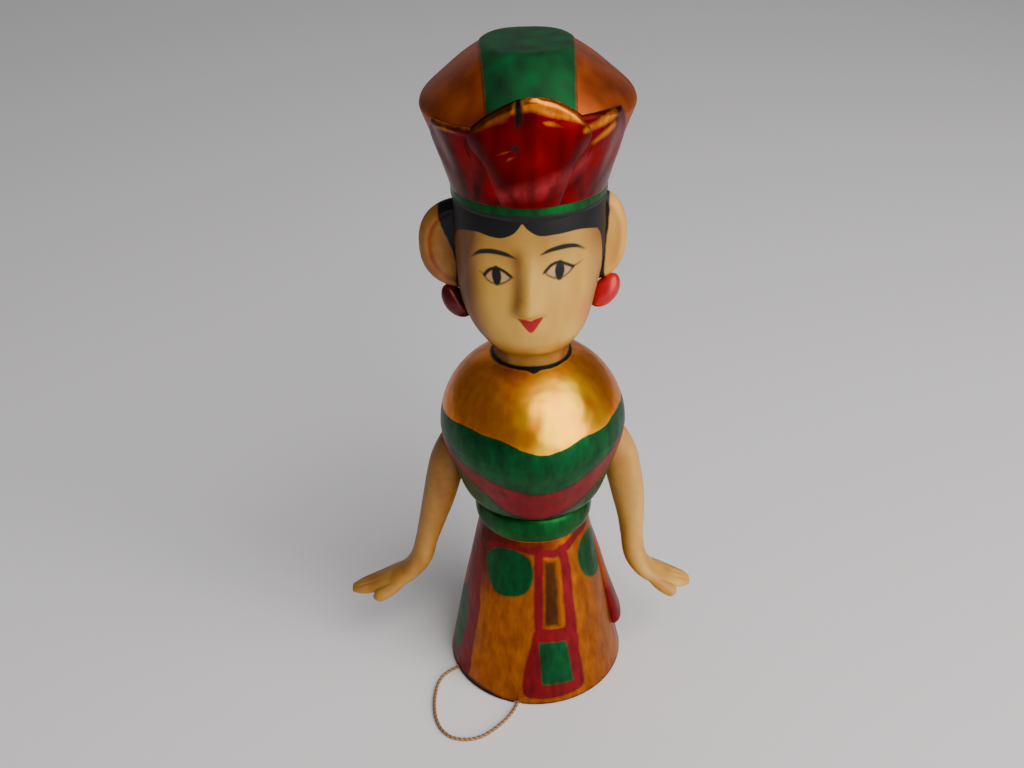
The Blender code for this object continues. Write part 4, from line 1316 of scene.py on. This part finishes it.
# Gold for the rims and painted glints, olive gold for painted shade on the rim, rose for a painted sheen,
# dark red for veins and painted shade.
GOLD_RIM_AND_GLINT = (colour(130, 48, 4), colour(240, 142, 20), 1.0, 0.31)
SHADED_RIM_GOLD = (colour(70, 24, 2), colour(150, 78, 6), 1.0, 0.32)
ROSE_SHEEN = (colour(112, 14, 24), colour(170, 50, 56), 0.75, 0.42)
VEIN_AND_SHADE = (colour(36, 1, 4), colour(76, 10, 4), 0.8, 0.34)
petal_paint = painted(
    "petal glaze", RED_GLAZE,
    [
        ("rosy", 1.6, *ROSE_SHEEN),
        ("veins", 0.6, *VEIN_AND_SHADE),
        ("gold_streak", 0.5, *GOLD_RIM_AND_GLINT),
        ("gold_rim", 0.5, *GOLD_RIM_AND_GLINT),
        ("olive_rim", 0.8, *SHADED_RIM_GOLD),
        ("tip_stroke", 0.45, *BLACK),
    ],
    shine=0.12, wobble=0.4, dents=0.3,
)
for petal_name, sizes in PETALS.items():
    petal = petal_skin(petal_name, *sizes)
    settle(petal, petal_paint, "painted_wood", "figure")

# %% [markdown]
# ## The arms
#
# Each arm is carved by itself: it leans out from under the bust, bends at the wrist and spreads into a flat
# hand with the thumb towards the viewer. It is an oval section carried along a bent line. Grooves between
# the fingers press the hand's faces in, and the thumb is a small limb of its own, joined by a Boolean
# modifier, because that gives the sharp valley that a knife leaves beside it.

# %% Arms
SHOULDER_HEIGHT = 71.5
UPPER_ARM_THICKNESS = 9.1
WRIST_THICKNESS = 6.0
HAND_WIDTH = 9.0
HAND_THICKNESS = 4.6
ARM_ROOT = 0.8 * BUST_RADIUS
ARM_RINGS = 190
ARM_COLUMNS = 72
ARMS = {
    "right": (-1, 50.5, [
        (-0.12, 1.06), (0.0, 1.0), (0.09, 0.92), (0.14, 0.84), (0.196, 0.74), (0.26, 0.64), (0.32, 0.545),
        (0.38, 0.455), (0.486, 0.39), (0.626, 0.352), (0.78, 0.325), (0.906, 0.306), (0.99, 0.297),
    ]),
    "left": (1, 42.5, [
        (-0.16, 1.07), (0.02, 1.007), (0.14, 0.93), (0.2, 0.846), (0.26, 0.74), (0.3, 0.643), (0.32, 0.55),
        (0.365, 0.455), (0.48, 0.39), (0.647, 0.356), (0.81, 0.336), (0.917, 0.326), (0.99, 0.319),
    ]),
}
FINGER_GAPS = (-0.42, 0.05, 0.5)
THUMB_TAPER = np.array([[0.7], [0.9], [1.0], [1.0], [0.85], [0.35]])
THUMB_RINGS = 36
PALM_STATION = 8
KNUCKLE_STATION = 10
GROOVE_DEPTH = 0.3
GROOVE_START = 9.2
GROOVE_RUN = 1.2
INNER_ARM_SHADE = (30, 22)
BACK_ARM_SHADE = (0.5, 3.5)


def limb_rings(line, half_thick, half_wide, columns, fingers=0.0):
    """Oval rings square to a line that lies in the X-Z plane, flat across Y where they widen.

    Where fingers is above 0, a narrow bell at each gap takes that much off the thickness on both faces.
    """
    travel = np.gradient(line, axis=0)
    travel /= np.linalg.norm(travel, axis=1)[:, None]
    normal = np.stack([-travel[:, 2], np.zeros(len(line)), travel[:, 0]], axis=1)
    turn = np.linspace(0, 2 * math.pi, columns, endpoint=False)
    grooves = sum(hump(np.sin(turn) - gap, 0.1) for gap in FINGER_GAPS)
    thick = np.cos(turn) * (half_thick[:, None] - np.asarray(fingers) * grooves)
    wide = np.sin(turn) * half_wide[:, None]
    return line[:, None] + thick[..., None] * normal[:, None] + wide[..., None] * np.array([0.0, 1.0, 0.0])


def arm_skin(name, side, reach, line):
    """An arm with its thumb, from shares of the reach and of the shoulder's height."""
    upper, wrist = UPPER_ARM_THICKNESS / 2, WRIST_THICKNESS / 2
    thick, wide = HAND_THICKNESS / 2, HAND_WIDTH / 2
    stations = np.array([
        (side * between(ARM_ROOT, reach, outward), 0.0, SHOULDER_HEIGHT * up) for outward, up in line
    ])
    sizes = [
        (0.90 * upper, 0.90 * upper), (0.95 * upper, 0.95 * upper), (upper, 0.98 * upper), (upper, upper),
        (0.92 * upper, 0.92 * upper), (between(wrist, upper, 0.35), between(wrist, upper, 0.4)),
        (wrist, wrist), (0.98 * wrist, 1.05 * wrist), (1.15 * thick, 0.86 * wide), (thick, wide),
        (0.80 * thick, 0.85 * wide), (0.64 * thick, 0.66 * wide), (0.36 * thick, 0.36 * wide),
    ]
    course = smooth_through(np.hstack([stations, sizes]), ARM_RINGS)
    along = np.linspace(0, len(line) - 1, ARM_RINGS)
    fingers = GROOVE_DEPTH * ease((along - GROOVE_START) / GROOVE_RUN)[:, None]
    arm = closed_skin(name, limb_rings(course[:, :3], course[:, 3], course[:, 4], ARM_COLUMNS, fingers))

    palm, knuckles = stations[PALM_STATION], stations[KNUCKLE_STATION]
    towards_viewer, down = np.array([0.0, -1.0, 0.0]), np.array([0.0, 0.0, -1.0])
    thumb_line = smooth_through(
        [
            palm + 0.35 * wide * towards_viewer,
            between(palm, knuckles, 0.45) + 0.80 * wide * towards_viewer + 0.5 * thick * down,
            between(palm, knuckles, 0.85) + 1.02 * wide * towards_viewer + 0.6 * thick * down,
            between(palm, knuckles, 1.05) + 1.02 * wide * towards_viewer + 0.6 * thick * down,
        ],
        THUMB_RINGS,
    )
    thumb_half = smooth_through(0.8 * thick * THUMB_TAPER, THUMB_RINGS)[:, 0]
    thumb = closed_skin(name + "_thumb", limb_rings(thumb_line, thumb_half, thumb_half, THUMB_RINGS))
    union = arm.modifiers.new("thumb", "BOOLEAN")
    union.operation = "UNION"
    union.solver = "EXACT"
    union.object = thumb
    graph = bpy.context.evaluated_depsgraph_get()
    joined = bpy.data.meshes.new_from_object(arm.evaluated_get(graph))
    arm.modifiers.clear()
    arm.data = joined
    bpy.data.objects.remove(thumb)
    return arm


ARM_OCHRE = (colour(178, 122, 46), colour(212, 162, 76), 0.0, 0.42)
arm_paint = painted(
    "arm paint", ARM_OCHRE, [("shade", 1.4, *SHADE_OCHRE)], shine=0.25, wobble=0.4, dents=0.08
)
for hand, (side, reach, line) in ARMS.items():
    arm = arm_skin("arm_" + hand, side, reach, line)
    x, y, z = places(arm)
    # Painted shade: darker on the inner side, on the back, and all over the arm on the side away from the
    # light.
    shade = 0.45 * ramp(side * x, *INNER_ARM_SHADE) + 0.5 * (side < 0) + 0.35 * ramp(y, *BACK_ARM_SHADE)
    mark(arm, "shade", 1.2 - 2.0 * shade)
    settle(arm, arm_paint, "skin_paint", hand + "_arm")

# %% [markdown]
# ## Floor and light
#
# The figure stands on a plain pale floor. A real room would light it from a window and by what the walls
# send back. Three large area lights do that here: a tall one in front on the right, which the gold cape
# mirrors, a broad one overhead, and a dim one behind, where a wall would be. The metal paints need something
# dimmer to mirror as well, so the world stays a mid grey.

# %% Floor and light
FLOOR_HALF = 3.0
FLOOR_TONE = colour(240, 237, 238)
FLOOR_ROUGHNESS = 0.6
LIT_PLACE = np.array([0.0, 0.0, 0.09])
LIGHTS = {
    "window": ((0.46, -0.5, 0.5), (0.75, 1.15), 13.5, (1.0, 0.98, 0.95)),
    "overhead": ((0.0, 0.15, 1.1), (1.6, 1.6), 1.3, (0.98, 0.98, 1.0)),
    "wall": ((-0.1, 1.3, 0.55), (1.6, 0.8), 1.3, (0.96, 0.97, 1.0)),
}
ROOM_TONE = (0.66, 0.66, 0.7, 1.0)
ROOM_STRENGTH = 0.2
floor_mesh = bpy.data.meshes.new("floor")
floor_mesh.from_pydata(
    [(-FLOOR_HALF, -FLOOR_HALF, 0), (FLOOR_HALF, -FLOOR_HALF, 0), (FLOOR_HALF, FLOOR_HALF, 0),
     (-FLOOR_HALF, FLOOR_HALF, 0)],
    [], [(0, 1, 2, 3)],
)
floor = in_scene("floor", floor_mesh)
floor_paint, _, floor_shader = new_material("pale floor")
floor_shader.inputs["Base Color"].default_value = FLOOR_TONE
floor_shader.inputs["Roughness"].default_value = FLOOR_ROUGHNESS
floor_mesh.materials.append(floor_paint)


def area_light(name, place, size, power, tint):
    """A soft rectangular light that faces the figure's bust."""
    data = bpy.data.lights.new(name, "AREA")
    data.shape = "RECTANGLE"
    data.size, data.size_y = size
    data.energy = power
    data.color = tint
    heading = np.array(place) - LIT_PLACE
    heading /= np.linalg.norm(heading)
    right = np.cross([0.0, 0.0, 1.0], heading)
    right /= np.linalg.norm(right)
    in_scene(name, data).matrix_world = placed(place, right, np.cross(heading, right), heading)


for light_name, settings in LIGHTS.items():
    area_light(light_name, *settings)
world = bpy.data.worlds.new("room")
world.use_nodes = True
world.node_tree.nodes["Background"].inputs["Color"].default_value = ROOM_TONE
world.node_tree.nodes["Background"].inputs["Strength"].default_value = ROOM_STRENGTH
bpy.context.scene.world = world
print(len(LIGHTS), "lights over a floor", 2 * FLOOR_HALF, "m wide")
